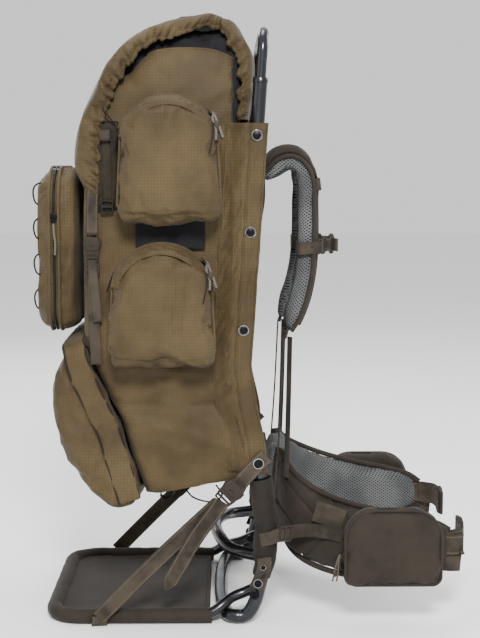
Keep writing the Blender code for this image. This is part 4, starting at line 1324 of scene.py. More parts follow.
def make_frame_flaps():
    heights = [0.246 + (0.792 - 0.246) * i / 150 for i in range(151)]
    rows = []
    for z in heights:
        row = []
        for k in range(37):
            t = k / 36
            y = upright_y(z) - 0.049 + (0.049 + 0.0165) * t
            spot = Vector((0, y, z))
            near_pin = min(abs(z - pin) for pin in PIN_HEIGHTS)
            lift = 0.0038 * slanted(spot, 52, (0.11, 0.020), 2.0) * ease(t, 0.0, 0.15) * ease(t, 0.78, 0.45)
            lift += 0.0016 * slanted(spot, 80, (0.08, 0.016), 6.0) * ease(t, 0.55, 0.75)
            lift += 0.0012 * ease(near_pin, 0.04, 0.10) * ease(t, 0.6, 1.0)
            lift -= 0.0022 * ease(abs(t - 0.60), 0.035, 0.0)
            edge = 0.0035 * ease(near_pin, 0.03, 0.11) * t * noise.noise(Vector((z * 21.0, 3.0, 0.0)))
            row.append(Vector((flap_x(y, z) + lift, y + edge - 0.004 * ease(z, 0.30, 0.25) * t, z)))
        rows.append(row)
    flap = thicken(grid_object("frame_flap", rows, RIPSTOP), 0.0018)
    both_sides("flap", flap, "pack", ["frame_flap_{}"])
    for label, side in SIDES:
        for tag, column in (("front", 2), ("fold", 22), ("rear", 35)):
            line = [
                Vector((side * (row[column].x + 0.0004), row[column].y, row[column].z)) for row in rows[1:-1]
            ]
            seam = swept(f"flap_seam_{tag}_{label}", even_line(line, 0.006), ring_section(0.0015, 8), RIPSTOP)
            fit(seam, "pack")


# ---------------------------------------------------------------- hood


def hood_row(crown_y, crown_z, hem_y, hem_z, half):
    """One line across the hood, from the right hem over the crown to the left hem."""
    steps = (
        (half - 0.001, -0.10),
        (half, 0.15),
        (half + 0.001, 0.50),
        (half - 0.3 * HOOD_CORNER, 0.86),
        (half - HOOD_CORNER, 0.99),
        (0.65 * half, 1.01),
        (0.35 * half, 1.0),
        (0.0, 1.0),
    )
    right = [Vector((x, hem_y + (crown_y - hem_y) * t, hem_z + (crown_z - hem_z) * t)) for x, t in steps]
    row = right + [Vector((-p.x, p.y, p.z)) for p in reversed(right[:-1])]
    return even_line(smooth_line(row, 10), run_length(row) / 150)[:151]


def gathered(rows, seed, depth=0.0060):
    """Pucker the two hems of a hood: close uneven folds at the edge that fade up the cloth."""
    last = len(rows[0]) - 1
    passed = 0.0
    for r, row in enumerate(rows):
        if r:
            passed += (row[0] - before).length
        before = row[0].copy()
        for i in range(last + 1):
            near = min(i, last - i) / last
            fade = ease(near, HEM_SHARE, 0.0)
            side = 1.0 if i < last / 2 else -1.0
            lean = passed + 0.10 * near
            fold = 1.6 * noise.noise(Vector((lean * 62.0, near * 7.0, seed + side)))
            fold += 1.1 * noise.noise(Vector((lean * 150.0, near * 16.0, seed - side)))
            long_fold = noise.noise(Vector((lean * 34.0, near * 2.0, seed + 2.0 * side)))
            out = depth * fold * fade + 0.0035 * long_fold * ease(near, 0.5, 0.1)
            row[i] = row[i] + Vector((side * out, 0.0, 0.0))
            if r and r < len(rows) - 1:
                inward = row[i] - row[min(i + 8, last) if side > 0 else max(i - 8, 0)]
                row[i] += inward.normalized() * 0.0042 * fold * ease(near, 0.05, 0.0)
    return rows


def hem_roll(name, rows, seed):
    """The rolled elastic hem along each edge of the hood, puckered along its length."""
    pieces = []
    for label, column in (("right", 1), ("left", -2)):
        path = even_line([row[column] for row in rows], 0.0016)

        def section(i):
            size = 0.0034 + 0.0017 * noise.noise(Vector((i * 0.16, seed, 0.0)))
            size += 0.0012 * noise.noise(Vector((i * 0.39, 0.0, seed)))
            return ring_section(size, 12, 0.7)

        pieces.append(swept(f"{name}_{label}", path, section, RIPSTOP))
    return joined(name, *pieces)


def make_hood():
    back_rows = gathered(smooth_rows([hood_row(*s) for s in HOOD_BACK_SECTIONS], 20), 3.0, depth=0.0036)
    back = grid_object("hood_back_panel", back_rows, RIPSTOP)
    pushed(back, lambda p, n: 0.0020 * crease(p, (0.05, 0.05, 0.05), 8.0))
    thicken(back, 0.0014)
    fit(back, "pack", ["hood_back"])
    fit(hem_roll("hood_back_hem", back_rows, 5.0), "pack")

    lid_rows = gathered(smooth_rows([hood_row(*s) for s in LID_SECTIONS], 20), 9.0)
    lid = grid_object("hood_lid_panel", lid_rows, RIPSTOP)

    def folds(p, n):
        size = 0.0026 * crease(p, (0.07, 0.07, 0.05), 12.0)
        size += 0.0034 * ease(p.z, 0.87, 0.77) * slanted(p, 80, (0.16, 0.024), 14.0) * ease(
            abs(n.x), 0.3, 0.8
        )
        return size

    pushed(lid, folds)
    thicken(lid, 0.0014)
    lid_hem = hem_roll("hood_lid_hem", lid_rows, 8.0)
    for obj in (lid, lid_hem):
        bent(obj)
    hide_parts("lid")


def make_lid_straps():
    """The hood's straps and the catches they clip into, with their buckles."""
    x, y = LID_STRAP_X + 0.0015, LID_STRAP_Y
    upper = ((x, y + 0.004, 0.712), (x + 0.001, y + 0.001, 0.67), (x, y, 0.62))
    lower = ((x, y, 0.592), (x, y + 0.002, 0.50), (x - 0.002, y + 0.004, 0.418))
    tail = ((x + 0.0028, y - 0.001, 0.582), (x + 0.0045, y + 0.003, 0.54), (x + 0.0055, y + 0.008, 0.486))
    for label, side in SIDES:
        axes = (Y_AXIS, Z_AXIS, Vector((side, 0, 0)))
        straps = (("hood_strap_", "hood_lid", upper, STRAP_SEWN, "lid_strap_"),)
        straps += (("catch_strap_", "pack", lower, STRAP, "lid_catch_"),)
        for name, body, line, finish, node in straps:
            line = sided(side, *line)
            sewn(name + label, body, line, Y_AXIS, 0.017, 0.0018, finish, nodes=[node + label])
        clip = buckle("hood_buckle_" + label, (side * x, y, 0.601), *axes, width=0.016)
        fit(clip, "hood_lid")
        sewn("catch_tail_" + label, "pack", sided(side, *tail), Y_AXIS, 0.014, 0.0014, STRAP)
        lock = ladder("catch_lock_" + label, (side * (x + 0.001), y, 0.566), *axes, width=0.016)
        fit(lock, "pack")


def make_top_tab():
    """The sewn webbing tab on top of the hood."""
    line = [(0.088, -0.122, 0.9530), (0.089, -0.114, 0.9578), (0.090, -0.104, 0.9588)]
    line += [(0.092, -0.094, 0.9592), (0.093, -0.086, 0.9570)]
    sewn("top_tab", "hood_lid", line, X_AXIS, 0.020, 0.0040, STRAP)


# ---------------------------------------------------------------- pockets


def arch_outline(pocket, inset=0.0, count=28):
    """A pocket front: square below, with one arc over the top."""
    radius = pocket["arch"] - inset
    half = pocket["half"] - inset
    reach = math.degrees(math.asin(half / radius)) - 1
    centre = (pocket["middle"], pocket["top"] - pocket["arch"])
    corner = 0.018
    low = (pocket["middle"] - half, pocket["bottom"] + inset)
    high_x = pocket["middle"] + half
    outline = arc_points((low[0] + corner, low[1] + corner), corner, 180, 270, 5)
    outline += arc_points((high_x - corner, low[1] + corner), corner, 270, 360, 5)
    outline += arc_points(centre, radius, 90 - reach, 90 + reach, count)
    return outline


def zip_arc(pocket, x, inset, start, end, count=40):
    """Points along the arch of a pocket, from rear to front, in degrees from the horizontal."""
    centre = (pocket["middle"], pocket["top"] - pocket["arch"])
    arc = arc_points(centre, pocket["arch"] - inset, start, end, count)
    return [Vector((x, y, z)) for y, z in arc]


def arch_band(name, pocket, steps, start, end, finish, seed, count=80):
    """A band of cloth round a pocket's arch, through (x, outward) steps, puckered and tapering off."""
    rows = []
    centre = (pocket["middle"], pocket["top"] - pocket["arch"])
    profile = smooth_line([Vector((x, outward, 0.0)) for x, outward in steps], 4)
    middle_x = profile[len(profile) // 2].x
    for i in range(count + 1):
        angle = math.radians(start + (end - start) * i / count)
        full = ease(i / count, 0.0, 0.07) * ease(i / count, 1.0, 0.84)
        row = []
        for k, spot in enumerate(profile):
            middle = math.sin(math.pi * k / (len(profile) - 1))
            pucker = 0.0026 * noise.noise(Vector((i * 0.21, k * 0.3, seed))) * middle
            radius = pocket["arch"] + spot.y + pucker - 0.0055 * (1 - full)
            y, z = centre[0] + radius * math.cos(angle), centre[1] + radius * math.sin(angle)
            x = middle_x + (spot.x - middle_x) * (0.3 + 0.7 * full)
            row.append(Vector((x + 0.8 * pucker, y, z)))
        rows.append(row)
    return thicken(grid_object(name, rows, finish), 0.0016)


def leaned(obj, pocket):
    """Draw a side pocket in towards its arch and let it spread and sag at the bottom."""
    height = pocket["top"] - pocket["bottom"]
    for vertex in obj.data.vertices:
        p = vertex.co
        rise = (p.z - pocket["bottom"]) / height
        p.y = pocket["middle"] + (p.y - pocket["middle"]) * (1.035 - 0.095 * ease(rise, -0.1, 1.0))
        p.z -= 0.0045 * ease(rise, 0.12, 0.0) * (1 + math.sin(38.0 * p.y + 40.0 * pocket["top"])) / 2
    obj.data.update()
    return obj


def make_side_pocket(level, pocket):
    """A stuffed side pocket with its zip, its storm flap and its piping, on both sides."""
    outer = SIDE_POCKET_X[1]
    low, high = pocket["bottom"], pocket["top"]
    seed = 3.0 + 10.0 * high
    outline = arch_outline(pocket, 0.0030)
    body = slab("pouch", outline, SIDE_POCKET_X[0] - 0.0015, outer - 0.006, "X", RIPSTOP, 0.014)
    inflated(body, 0.0045, 6.0, 0.0095, slack=0.06, held=lambda p: ease(p.x, 0.192, 0.180))

    def folds(p, n):
        front = ease(n.x, 0.3, 0.8)
        size = 0.0085 * front * slanted(p, 70, (0.13, 0.042), seed)
        size *= ease(p.z, low - 0.02, low + 0.07) * ease(p.z, high, high - 0.06)
        size += 0.0040 * front * slanted(p, 115, (0.09, 0.028), seed + 4) * ease(p.z, high - 0.09, low)
        size += 0.0030 * slanted(p, -6, (0.09, 0.020), seed + 5) * ease(p.z, low + 0.05, low)
        size += 0.0014 * crease(p, (0.03, 0.03, 0.03), 2.0)
        return size - 0.0024 * front * ease(abs(p.z - low - 0.014), 0.003, 0.0)

    pushed(body, folds)
    for vertex in body.data.vertices:
        vertex.co.x = min(vertex.co.x, outer + 0.004)
    leaned(body, pocket)
    for piece in both_sides(f"{level}_pouch", body, "pack", [f"side_pocket_{level}_{{}}"]):
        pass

    flap = ((0.2130, 0.0030), (0.2200, 0.0014), (0.2290, -0.0020), (0.2360, -0.0070), (0.2388, -0.0125))
    tape = ((0.2010, -0.0012), (SIDE_ZIP_X, 0.0002), (0.2150, -0.0012))
    # Painted shadow: a band of dark cloth just inside the storm flap's edge, where the flap's shade falls.
    flap_shadow = ((0.2150, -0.0040), (0.2250, -0.0060), (0.2320, -0.0110))
    trim = [arch_band("flap", pocket, flap, 42, 162, RIPSTOP, seed)]
    trim.append(arch_band("tape", pocket, tape, 14, 170, RIPSTOP_SHADE, seed + 1))
    coil = zip_arc(pocket, SIDE_ZIP_X, -0.0006, 14, 170)
    trim.append(swept("coil", coil, ring_section(0.0014, 8), BLACK_PLASTIC))
    trim.append(arch_band("flap_shadow", pocket, flap_shadow, 12, 50, RIPSTOP_SHADE, seed + 2))
    edge = zip_arc(pocket, 0.2130, -0.0030, 47, 155)
    trim.append(swept("edge", edge, ring_section(0.0016, 8), RIPSTOP))
    seam = zip_arc(pocket, 0.2386, 0.0125, 50, 150)
    trim.append(swept("seam", seam, ring_section(0.0012, 8), RIPSTOP))
    for y in (pocket["middle"] + pocket["half"] - 0.001, pocket["middle"] - pocket["half"] + 0.001):
        line = [(0.2175, y, high - pocket["arch"] + 0.030), (0.2180, y, low + 0.05), (0.2170, y, low + 0.022)]
        trim.append(swept("piping", smooth_line(line, 8), ring_section(0.0020, 8), RIPSTOP))
    both_sides(f"{level}_trim", leaned(joined(f"{level}_trim", *trim), pocket), "pack")


def make_side_panels():
    """The charcoal stretch panel between the side pockets, and what lies in front of the upper one: a dark
    sheet of painted shade over the recess there, with the straps and the cord.
    """
    rows = []
    for i in range(17):
        z = 0.598 + 0.050 * i / 16
        row = []
        for k in range(25):
            y = -0.183 + 0.107 * k / 24
            bow = 0.0016 * math.sin(math.pi * k / 24) + 0.0006 * noise.noise(
                Vector((y * 60.0, z * 60.0, 2.0))
            )
            row.append(Vector((0.1778 + bow, y, z)))
        rows.append(row)
    panel = thicken(grid_object("stretch_panel", rows, LINING), 0.0012)
    for piece in both_sides("stretch_panel", panel, "pack"):
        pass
    # A dark sheet of painted shade, standing in for the shade in the recess before the upper pocket, sunk in
    # at its rims.
    rows = []
    for i in range(41):
        z = 0.655 + 0.140 * i / 40
        row = []
        for k in range(17):
            y = -0.246 + 0.040 * k / 16
            dip = 0.0022 * slanted(Vector((0.0, y, z)), 78, (0.07, 0.012), 61.0)
            dip -= 0.0045 * ease(min(k, 16 - k, i, 40 - i), 3, 0)
            row.append(Vector((0.1775 + dip, y, z)))
        rows.append(row)
    shade_panel = thicken(grid_object("shade_panel", rows, RIPSTOP_SHADE), 0.0012)
    both_sides("side_shade_panel", shade_panel, "pack")
    x, y = 0.1800, -0.226
    turns = [i / 40 * 4.2 * math.pi for i in range(41)]
    coils = [(0.003 + 0.00034 * a / 0.6, a) for a in turns]
    squeeze = ((x, -0.228, 0.770), (x + 0.001, y, 0.735), (x, y, 0.668), (x - 0.001, y, 0.655))
    cord = ((x, -0.232, 0.816), (x + 0.004, -0.228, 0.809), (x + 0.003, -0.219, 0.797), (x, -0.213, 0.789))
    for label, side in SIDES:
        centre = Vector((side * 0.1860, -0.228, 0.774))
        spiral = [centre + Vector((side * r * math.cos(a), 0.0, r * math.sin(a))) for r, a in coils]
        fit(strap("rolled_stub_" + label, spiral, Y_AXIS, 0.016, 0.0014, STRAP), "pack")
        line = sided(side, *squeeze)
        sewn("squeeze_strap_" + label, "pack", line, Y_AXIS, 0.012, 0.0016, RIPSTOP_WEB, steps=8)
        axes = (Y_AXIS, Z_AXIS, (side, 0, 0))
        spot = (side * (x + 0.003), y, 0.664)
        clip = ladder("squeeze_lock_" + label, spot, *axes, width=0.014, tone=BLACK_PLASTIC)
        fit(clip, "pack")
        points = sided(side, *cord)
        free_cord("side_cord_" + label, points, 0.0011, CORD_BLACK, "pack")


def make_side_zips():
    """Sliders with corded pulls on the side pockets' arches."""
    out = Vector((0.0, math.sin(SLIDER_ANGLE), math.cos(SLIDER_ANGLE)))
    along = Vector((0.0, math.cos(SLIDER_ANGLE), -math.sin(SLIDER_ANGLE)))
    knot_profile = ((-0.006, 0.0012), (-0.0045, 0.0032), (-0.0018, 0.0044))
    knot_profile += tuple((-height, radius) for height, radius in reversed(knot_profile))
    tail = ((0.006, 0.002, -0.001), (0.032, 0.003, -0.014), (0.0385, 0.002, -0.036), (0.0390, -0.003, -0.060))
    for level, pocket in (("upper", UPPER_POCKET), ("lower", LOWER_POCKET)):
        centre = Vector((0.0, pocket["middle"], pocket["top"] - pocket["arch"]))
        for label, side in SIDES:
            place = centre + out * (pocket["arch"] - 0.0010)
            place.x = side * SIDE_ZIP_X
            body = f"{level}_zip_{label}"
            tab = slider(f"{level}_slider_{label}", place, out, along)
            fit(tab, body, [f"zip_slider_{level}_{label}"])
            start = place + along * -0.002 + out * 0.004
            for number, (spread, drop) in enumerate(((0.0, 0.0), (-0.0050, 0.004)), 1):
                pull = [
                    (0.0, 0.0, 0.0), (0.014, 0.004 + spread * 0.2, -0.002), (0.029, 0.007 + spread, -0.010)
                ]
                pull.append((0.034, 0.012 + spread, -0.022 - drop))
                pull.append((0.034, 0.017 + 2.0 * spread, -0.037 - drop))
                points = [start + p for p in sided(side, *pull)]
                name = f"{level}_pull_{number}_{label}"
                free_cord(name, points, 0.0020, CORD_GREY, body)
            knot_place = start + Vector((side * 0.0335, 0.0085, -0.019))
            name = f"{level}_pull_knot_{label}"
            knot = turned(name, knot_profile, CORD_GREY, (0, 0.3, -0.954), knot_place, steps=12)
            pushed(knot, lambda p, n: 0.0011 * noise.noise(p * 420.0))
            fit(knot, body)
            points = [start + p for p in sided(side, *tail)]
            free_cord(f"{level}_tail_{label}", points, 0.0010, CORD_BLACK, body)


def make_front_pocket():
    """The front pocket: its stuffed body, two rows of piping, and the zip between them."""
    half, low, high = FRONT_POCKET["half"], FRONT_POCKET["bottom"], FRONT_POCKET["top"]
    front, back = FRONT_POCKET["front"], FRONT_POCKET["back"]
    inset = 0.004
    corners = (0.040, 0.040, 0.060, 0.060)
    outline = rounded_outline((inset - half, low + inset), (half - inset, high - inset), corners, 8)
    body = slab("front_pouch", outline, front + 0.008, back + 0.001, "Y", RIPSTOP, 0.014)
    inflated(body, 0.005, 5.0, 0.0085, slack=0.05, held=lambda p: ease(p.y, -0.300, -0.288))

    def folds(p, n):
        size = 0.0022 * crease(p, (0.05, 0.04, 0.06), 21.0)
        size += 0.0030 * slanted(p, 80, (0.10, 0.02), 17.0) * ease(abs(n.x), 0.4, 0.9)
        size -= 0.0030 * ease(abs(p.y - FRONT_ZIP_Y), 0.0045, 0.0) * ease(abs(n.y), 0.9, 0.6)
        return size

    pushed(body, folds)
    for vertex in body.data.vertices:
        vertex.co.y = max(vertex.co.y, front - 0.004)
    fit(body, "pack", ["front_pocket"])
    outline = rounded_outline((-half, low), (half, high), (0.042, 0.042, 0.062, 0.062), 12)
    middle_z = (low + high) / 2

    def round_pocket(y, wide, tall):
        ring = [Vector((x * wide, y, middle_z + (z - middle_z) * tall)) for x, z in outline]
        return even_line([*ring, ring[0]], 0.005)

    for number, y in enumerate((-0.3085, -0.3235), 1):
        piping = swept(
            f"front_piping_{number}", round_pocket(y, 1.004, 0.995), ring_section(0.0026, 8), RIPSTOP
        )
        fit(piping, "pack")
    coil = swept(
        "front_zip_coil", round_pocket(FRONT_ZIP_Y, 1.0, 0.99), ring_section(0.0018, 8), BLACK_PLASTIC
    )
    fit(coil, "pack")
    tab = slider("front_slider", (half + 0.0012, FRONT_ZIP_Y, 0.646), X_AXIS, Z_AXIS)
    fit(tab, "front_zip", ["zip_slider_front"])
    start = Vector((half + 0.0035, FRONT_ZIP_Y, 0.636))
    drops = ((0.0, 0.0, 0.0), (0.003, 0.001, -0.014), (0.0035, 0.003, -0.034), (0.003, 0.002, -0.050))
    points = [start + Vector(drop) for drop in drops]
    free_cord("front_pull", points, 0.0018, CORD_GREY, "front_zip")


def make_bungees():
    """Thin elastic cords laced in four loops down the front pocket."""
    bow = ((0.096, -0.3390, 0.010), (0.103, -0.3475, 0.005), (0.109, -0.3500, -0.006))
    bow += ((0.103, -0.3475, -0.021), (0.096, -0.3390, -0.028))
    for number, height in enumerate((0.690, 0.635, 0.578, 0.522), 1):
        for label, side in SIDES:
            points = sided(side, *[(x, y, height + rise) for x, y, rise in bow])
            free_cord(f"loop_{number}_{label}", points, 0.0014, CORD_BLACK, "pack")


def make_bottom_pocket():
    """The bottom pocket, and the storm flap that slants round its three sides."""
    middle_y, middle_z, share = -0.245, 0.320, 0.985
    outline = [
        (middle_y + (y - middle_y) * share, middle_z + (z - middle_z) * share) for y, z in BOTTOM_POCKET_LINE
    ]
    half_width = BOTTOM_POCKET_HALF - 0.003
    body = slab("bottom_pouch", outline, -half_width, half_width, "X", RIPSTOP, 0.014)
    inflated(body, 0.0065, 4.0, 0.0060, slack=0.04, held=lambda p: ease(p.y + 0.5 * p.z, -0.10, -0.08))

    def folds(p, n):
        size = 0.0030 * crease(p, (0.09, 0.05, 0.05), 31.0)
        size += 0.0034 * slanted(p, 100, (0.11, 0.026), 19.0) * ease(abs(n.x), 0.4, 0.9)
        size += 0.0022 * slanted(p, -30, (0.08, 0.020), 23.0) * ease(p.z, 0.27, 0.21)
        return size

    pushed(body, folds)
    fit(body, "pack", ["bottom_pocket"])
    slope = Vector((0.0, -0.935, -0.354))
    edge = [Vector((BOTTOM_POCKET_HALF + 0.0035, y, z)) for y, z in BOTTOM_POCKET_LINE[-6:-1]]
    half = [p + slope * 0.019 for p in edge]
    half[0] += Vector((-0.001, -0.002, 0.003))
    half += sided(1.0, (0.171, -0.281, 0.4400), (0.160, -0.284, 0.4475), (0.130, -0.285, 0.4495))
    half.append(Vector((0.06, -0.286, 0.4500)))
    path = [*half, Vector((0.0, -0.286, 0.4500)), *sided(-1.0, *reversed(half))]
    line = even_line(smooth_line(path, 8), 0.005)
    flap = subdivided(strap("bottom_flap", line, slope, BOTTOM_FLAP_WIDTH, 0.0044, RIPSTOP))
    pushed(flap, lambda p, n: 0.0022 * crease(p, (0.05, 0.03, 0.04), 27.0))
    fit(flap, "pack")
    # Dark cords along the flap's two seams: the seams are real, their darkness is painted shade in the
    # crease.
    lift = 0.0012
    for offset, tag in ((-0.017, "rear"), (0.017, "fore")):
        seam_line = []
        for p in line:
            raised = Vector((lift if p.x > 0 else -lift, 0, lift if p.z > 0.43 else 0))
            seam_line.append(p + slope * offset + raised)
        seam = swept("bottom_flap_shaded_seam_" + tag, seam_line, ring_section(0.0020, 8), RIPSTOP_SHADE)
        fit(seam, "pack")


# ---------------------------------------------------------------- shelf straps


def make_shelf_straps():
    """The straps that tie the shelf to the frame, with their buckles, anchors and loose ends."""
    start, end = Vector((0, *SHELF_STRAP_TOP)), Vector((0, *SHELF_STRAP_END))
    along = (end - start).normalized()
    across = Vector((0, -along.z, along.y))
    sag = ((0.0, 0.0), (0.25, 0.0015), (0.5, 0.0022), (0.75, 0.0015), (1.0, 0.0))
    wrap = ((0.1945, -0.2435, 0.0165), (0.1925, -0.2445, 0.0050))
    wrap += ((0.1860, -0.2450, 0.0010), (0.1700, -0.2440, 0.0012))
    hang = ((0.2015, -0.090, 0.148), (0.2015, -0.118, 0.100), (0.2015, -0.139, 0.0630))
    for label, side in SIDES:
        out = Vector((side, 0, 0))
        x = side * SHELF_STRAP_X
        path = [start.lerp(end, t) - across * drop + X_AXIS * x for t, drop in sag]
        web = strap("shelf_tie_" + label, smooth_line(path, 8), across, WEBBING, 0.0019, STRAP_SEWN)
        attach(web, "pack")
        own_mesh(web)
        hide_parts("shelf_strap_" + label)
        line = sided(side, *wrap)
        sewn("shelf_wrap_" + label, "shelf", line, (0, 1, 0.1), WEBBING, 0.0019, STRAP_SEWN)
        centre = Vector((side * (SHELF_STRAP_X + 0.002), *SHELF_BUCKLE_CENTRE))
        clip = buckle("tie_buckle_" + label, centre, across, -along, out)
        fit(clip, "pack", ["shelf_buckle_" + label])
        pin = Vector((side * 0.1955, upright_y(PIN_HEIGHTS[0]), PIN_HEIGHTS[0]))
        upper = [centre - along * 0.016 + out * 0.001, centre - along * 0.026]
        upper += [
            pin.lerp(centre, 0.4) - out * 0.0010, pin - out * 0.0030, pin - along * 0.017 - out * 0.0030
        ]
        sewn("tie_anchor_" + label, "pack", upper, across, WEBBING, 0.0024, STRAP_SEWN)
        grommet("tie_grommet_" + label, Vector((side * 0.1938, pin.y, pin.z)), out, 0.0090)
        tail = [centre + along * 0.020 + out * 0.004]
        if label == "right":
            tail.append(centre + along * 0.034 + out * 0.0050 + Vector((0, 0.003, -0.002)))
            tail += sided(side, *hang)
        else:
            tail += [start.lerp(end, t) + out * (SHELF_STRAP_X + 0.0045) for t in (0.20, 0.34, 0.46)]
        line = smooth_line(tail, 8)

        def taper(i):
            return WEBBING * (0.98 if i < len(line) - 4 else 0.20 + 0.26 * (len(line) - 1 - i))

        loose = strap("tie_tail_" + label, line, (0, -0.84, 0.54), taper, 0.0017, STRAP_SEWN)
        fit(loose, "pack")


def make_floor_loops():
    """The dark cord loops and webbing tabs under the bag's floor."""
    loop = ((0.120, -0.060, 0.212), (0.126, -0.050, 0.196), (0.128, -0.068, 0.186))
    loop += ((0.124, -0.096, 0.192), (0.118, -0.112, 0.208))
    tab = ((0.105, -0.146, 0.206), (0.106, -0.150, 0.192), (0.106, -0.140, 0.186))
    tab += ((0.105, -0.128, 0.196), (0.104, -0.122, 0.206))
    for label, side in SIDES:
        free_cord("floor_loop_" + label, sided(side, *loop), 0.0014, CORD_BLACK, "pack")
        sewn("floor_tab_" + label, "pack", sided(side, *tab), X_AXIS, 0.018, 0.0020, STRAP, steps=5)


# ---------------------------------------------------------------- harness


def make_shoulder_pads():
    places = []
    for x, y, z in ((0.0585, 0.0185, 0.7050), *PAD_LINE):
        arch = ease(z, 0.66, 0.71)
        places.append((x, y - 0.004 * (1 - arch), z - 0.010 * arch * ease(y, 0.015, 0.04)))
    line = smooth_line(places, 5)
    slim = PAD_VISIBLE / 2
    half = PAD_WIDTH / 2 - 0.002
    core_half = slim - 0.003
    outline = []
    for a in range(24):
        angle = 2 * math.pi * a / 24
        c, s = math.cos(angle), math.sin(angle)
        outline.append((half * math.copysign(abs(c) ** 0.55, c), core_half * math.copysign(abs(s) ** 0.6, s)))

    def section(i):
        end = 0.55 + 0.45 * ease(min(i, len(line) - 1 - i), -1, 5)
        return [(a * (0.80 + 0.20 * end), b * end) for a, b in outline]

    core = swept("pad", line, section, SPACER, sideways=X_AXIS)
    inflated(core, 0.0045, 3.5, 0.0040)
    core.data.materials.append(PACKCLOTH)
    frames = frames_along(line)
    outward = [-tangent.cross(X_AXIS) for tangent, _ in frames]
    for face in core.data.polygons:
        index = min(range(len(line)), key=lambda i: (line[i] - face.center).length_squared)
        if face.normal.dot(outward[index]) > 0.55:
            face.material_index = 1
    pair = both_sides("shoulder_strap", core, "harness", ["shoulder_pad_{}"])
    outer = [place + out * (slim + 0.0004) for place, out in zip(line, outward)]
    web = strap("pad_web", outer[18:-4], X_AXIS, WEBBING, 0.0034, STRAP_SEWN)
    both_sides("pad_web", web, "harness")

    top = line[1:25]

    def wedge(i):
        t = i / (len(top) - 1)
        height = 0.0010 + 0.0105 * ease(t, 0.0, 0.50) * ease(t, 1.0, 0.50)
        wide = half - 0.002
        ring = [(-wide, -slim + 0.006), (-wide, -slim - 0.2 * height), (-0.82 * wide, -slim - height)]
        ring += [(0.0, -slim - 1.1 * height), (0.82 * wide, -slim - height)]
        return ring + [(wide, -slim - 0.2 * height), (wide, -slim + 0.006)]

    lifter = swept("pad_lifter", top, wedge, PACKCLOTH, sideways=X_AXIS, sharp=60)
    subdivided(lifter)
    pushed(lifter, lambda p, n: 0.0010 * crease(p, (0.03, 0.03, 0.02), 16.0))
    both_sides("pad_lifter", lifter, "harness")
    for edge_side, tag in ((-1, "inner"), (1, "outer")):
        edge = [
            p + out * 0.009 + Vector((edge_side * (PAD_WIDTH / 2 - 0.001), 0, 0))
            for p, out in zip(line[1:-1], outward[1:-1])
        ]
        binding = swept("pad_edge", edge, ring_section(0.0034, 10), PACKCLOTH)
        both_sides("pad_binding_" + tag, binding, "harness")
    place, out = line[25], outward[25]
    ring = [(half, slim - 0.004), (half + 0.001, slim + 0.001), (0.6 * half, slim + 0.0045)]
    ring = ring + [(-x, y) for x, y in reversed(ring)]
    over = smooth_line([place + X_AXIS * a + out * b for a, b in ring], 5)
    both_sides("pad_band", strap("band", over, frames[25][0], 0.020, 0.0020, STRAP), "harness")


def make_harness_panel():
    outline = rounded_outline((-0.060, 0.560), (0.060, 0.722), 0.010)
    panel = slab("back_panel", outline, 0.0135, 0.0195, "Y", PACKCLOTH, 0.0025)
    inflated(panel, 0.004, 2.0, 0.002)
    for vertex in panel.data.vertices:
        vertex.co.y -= 0.011 * ease(vertex.co.z, 0.68, 0.60)
    fit(panel, "harness", ["harness_panel"])


def make_lower_webs():
    """The webbing below the shoulder pads, its loose ends and its ladder locks."""
    line = smooth_line(LOWER_WEB_LINE, 10)
    for label, side in SIDES:
        path = sided(side, *line)
        web = strap("lower_strap_" + label, path, X_AXIS, 0.020, 0.0019, STRAP)
        bent(web)
        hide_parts("lower_web_" + label)
        tail = [p + Vector((0.0, 0.010 + 0.008 * i / len(path), 0.0)) for i, p in enumerate(path[:26])]
        loose = strap("lower_tail_" + label, tail, (1, 0.3, 0), 0.020, 0.0017, STRAP)
        bent(loose)
        axes = (X_AXIS, (0, 0.25, 0.968), (0, 0.968, -0.25))
        lock = ladder("lower_lock_" + label, (side * 0.119, 0.0535, 0.462), *axes, width=0.022)
        fit(lock, "harness")


def make_sternum():
    """The chest strap with its buckle, and the loops that slide on the shoulder pads."""
    line = [*STERNUM_LINE, *[(-x, y) for x, y in reversed(STERNUM_LINE[:-1])]]
    path = smooth_line([(x, y, STERNUM_Z) for x, y in line], 8)
    web = strap("chest_strap", path, Z_AXIS, CHEST_WEB, 0.0024, STRAP_SEWN)
    fit(web, "sternum", ["sternum_strap"])
    y = STERNUM_LINE[-1][1]
    clip = buckle("chest_buckle", (0.0, y + 0.001, STERNUM_Z), -Z_AXIS, X_AXIS, Y_AXIS, width=CHEST_WEB)
    fit(clip, "sternum")
    wide, deep = 0.0350, PAD_VISIBLE / 2 + 0.0042
    ring = [(wide, 0.0), (wide - 0.002, deep - 0.003), (0.5 * wide, deep), (-0.5 * wide, deep)]
    ring.append((-wide + 0.002, deep - 0.003))
    ring += [(-a, -b) for a, b in ring]
    fold = ((0.024, y + 0.003, STERNUM_Z), (0.040, y + 0.009, STERNUM_Z - 0.001))
    fold += ((0.052, y + 0.004, STERNUM_Z + 0.001), (0.040, y - 0.001, STERNUM_Z))
    for label, side in SIDES:
        places = [(side * (0.0953 + a), 0.0908 + b, STERNUM_Z + 0.06 * b) for a, b in ring]
        loop = smooth_line(places, 5, closed=True)
        band = strap("chest_band_" + label, [*loop, loop[0], loop[1]], Z_AXIS, 0.020, 0.0018, STRAP)
        fit(band, "sternum")
        axes = (Z_AXIS, (1, -side * 0.25, 0), (side * 0.25, 1, 0))
        lock = ladder("chest_lock_" + label, (side * 0.058, 0.1160, STERNUM_Z), *axes, width=CHEST_WEB)
        fit(lock, "sternum")
        sewn("chest_fold_" + label, "sternum", sided(side, *fold), Z_AXIS, 0.021, 0.0020, STRAP)


# ---------------------------------------------------------------- hip belt


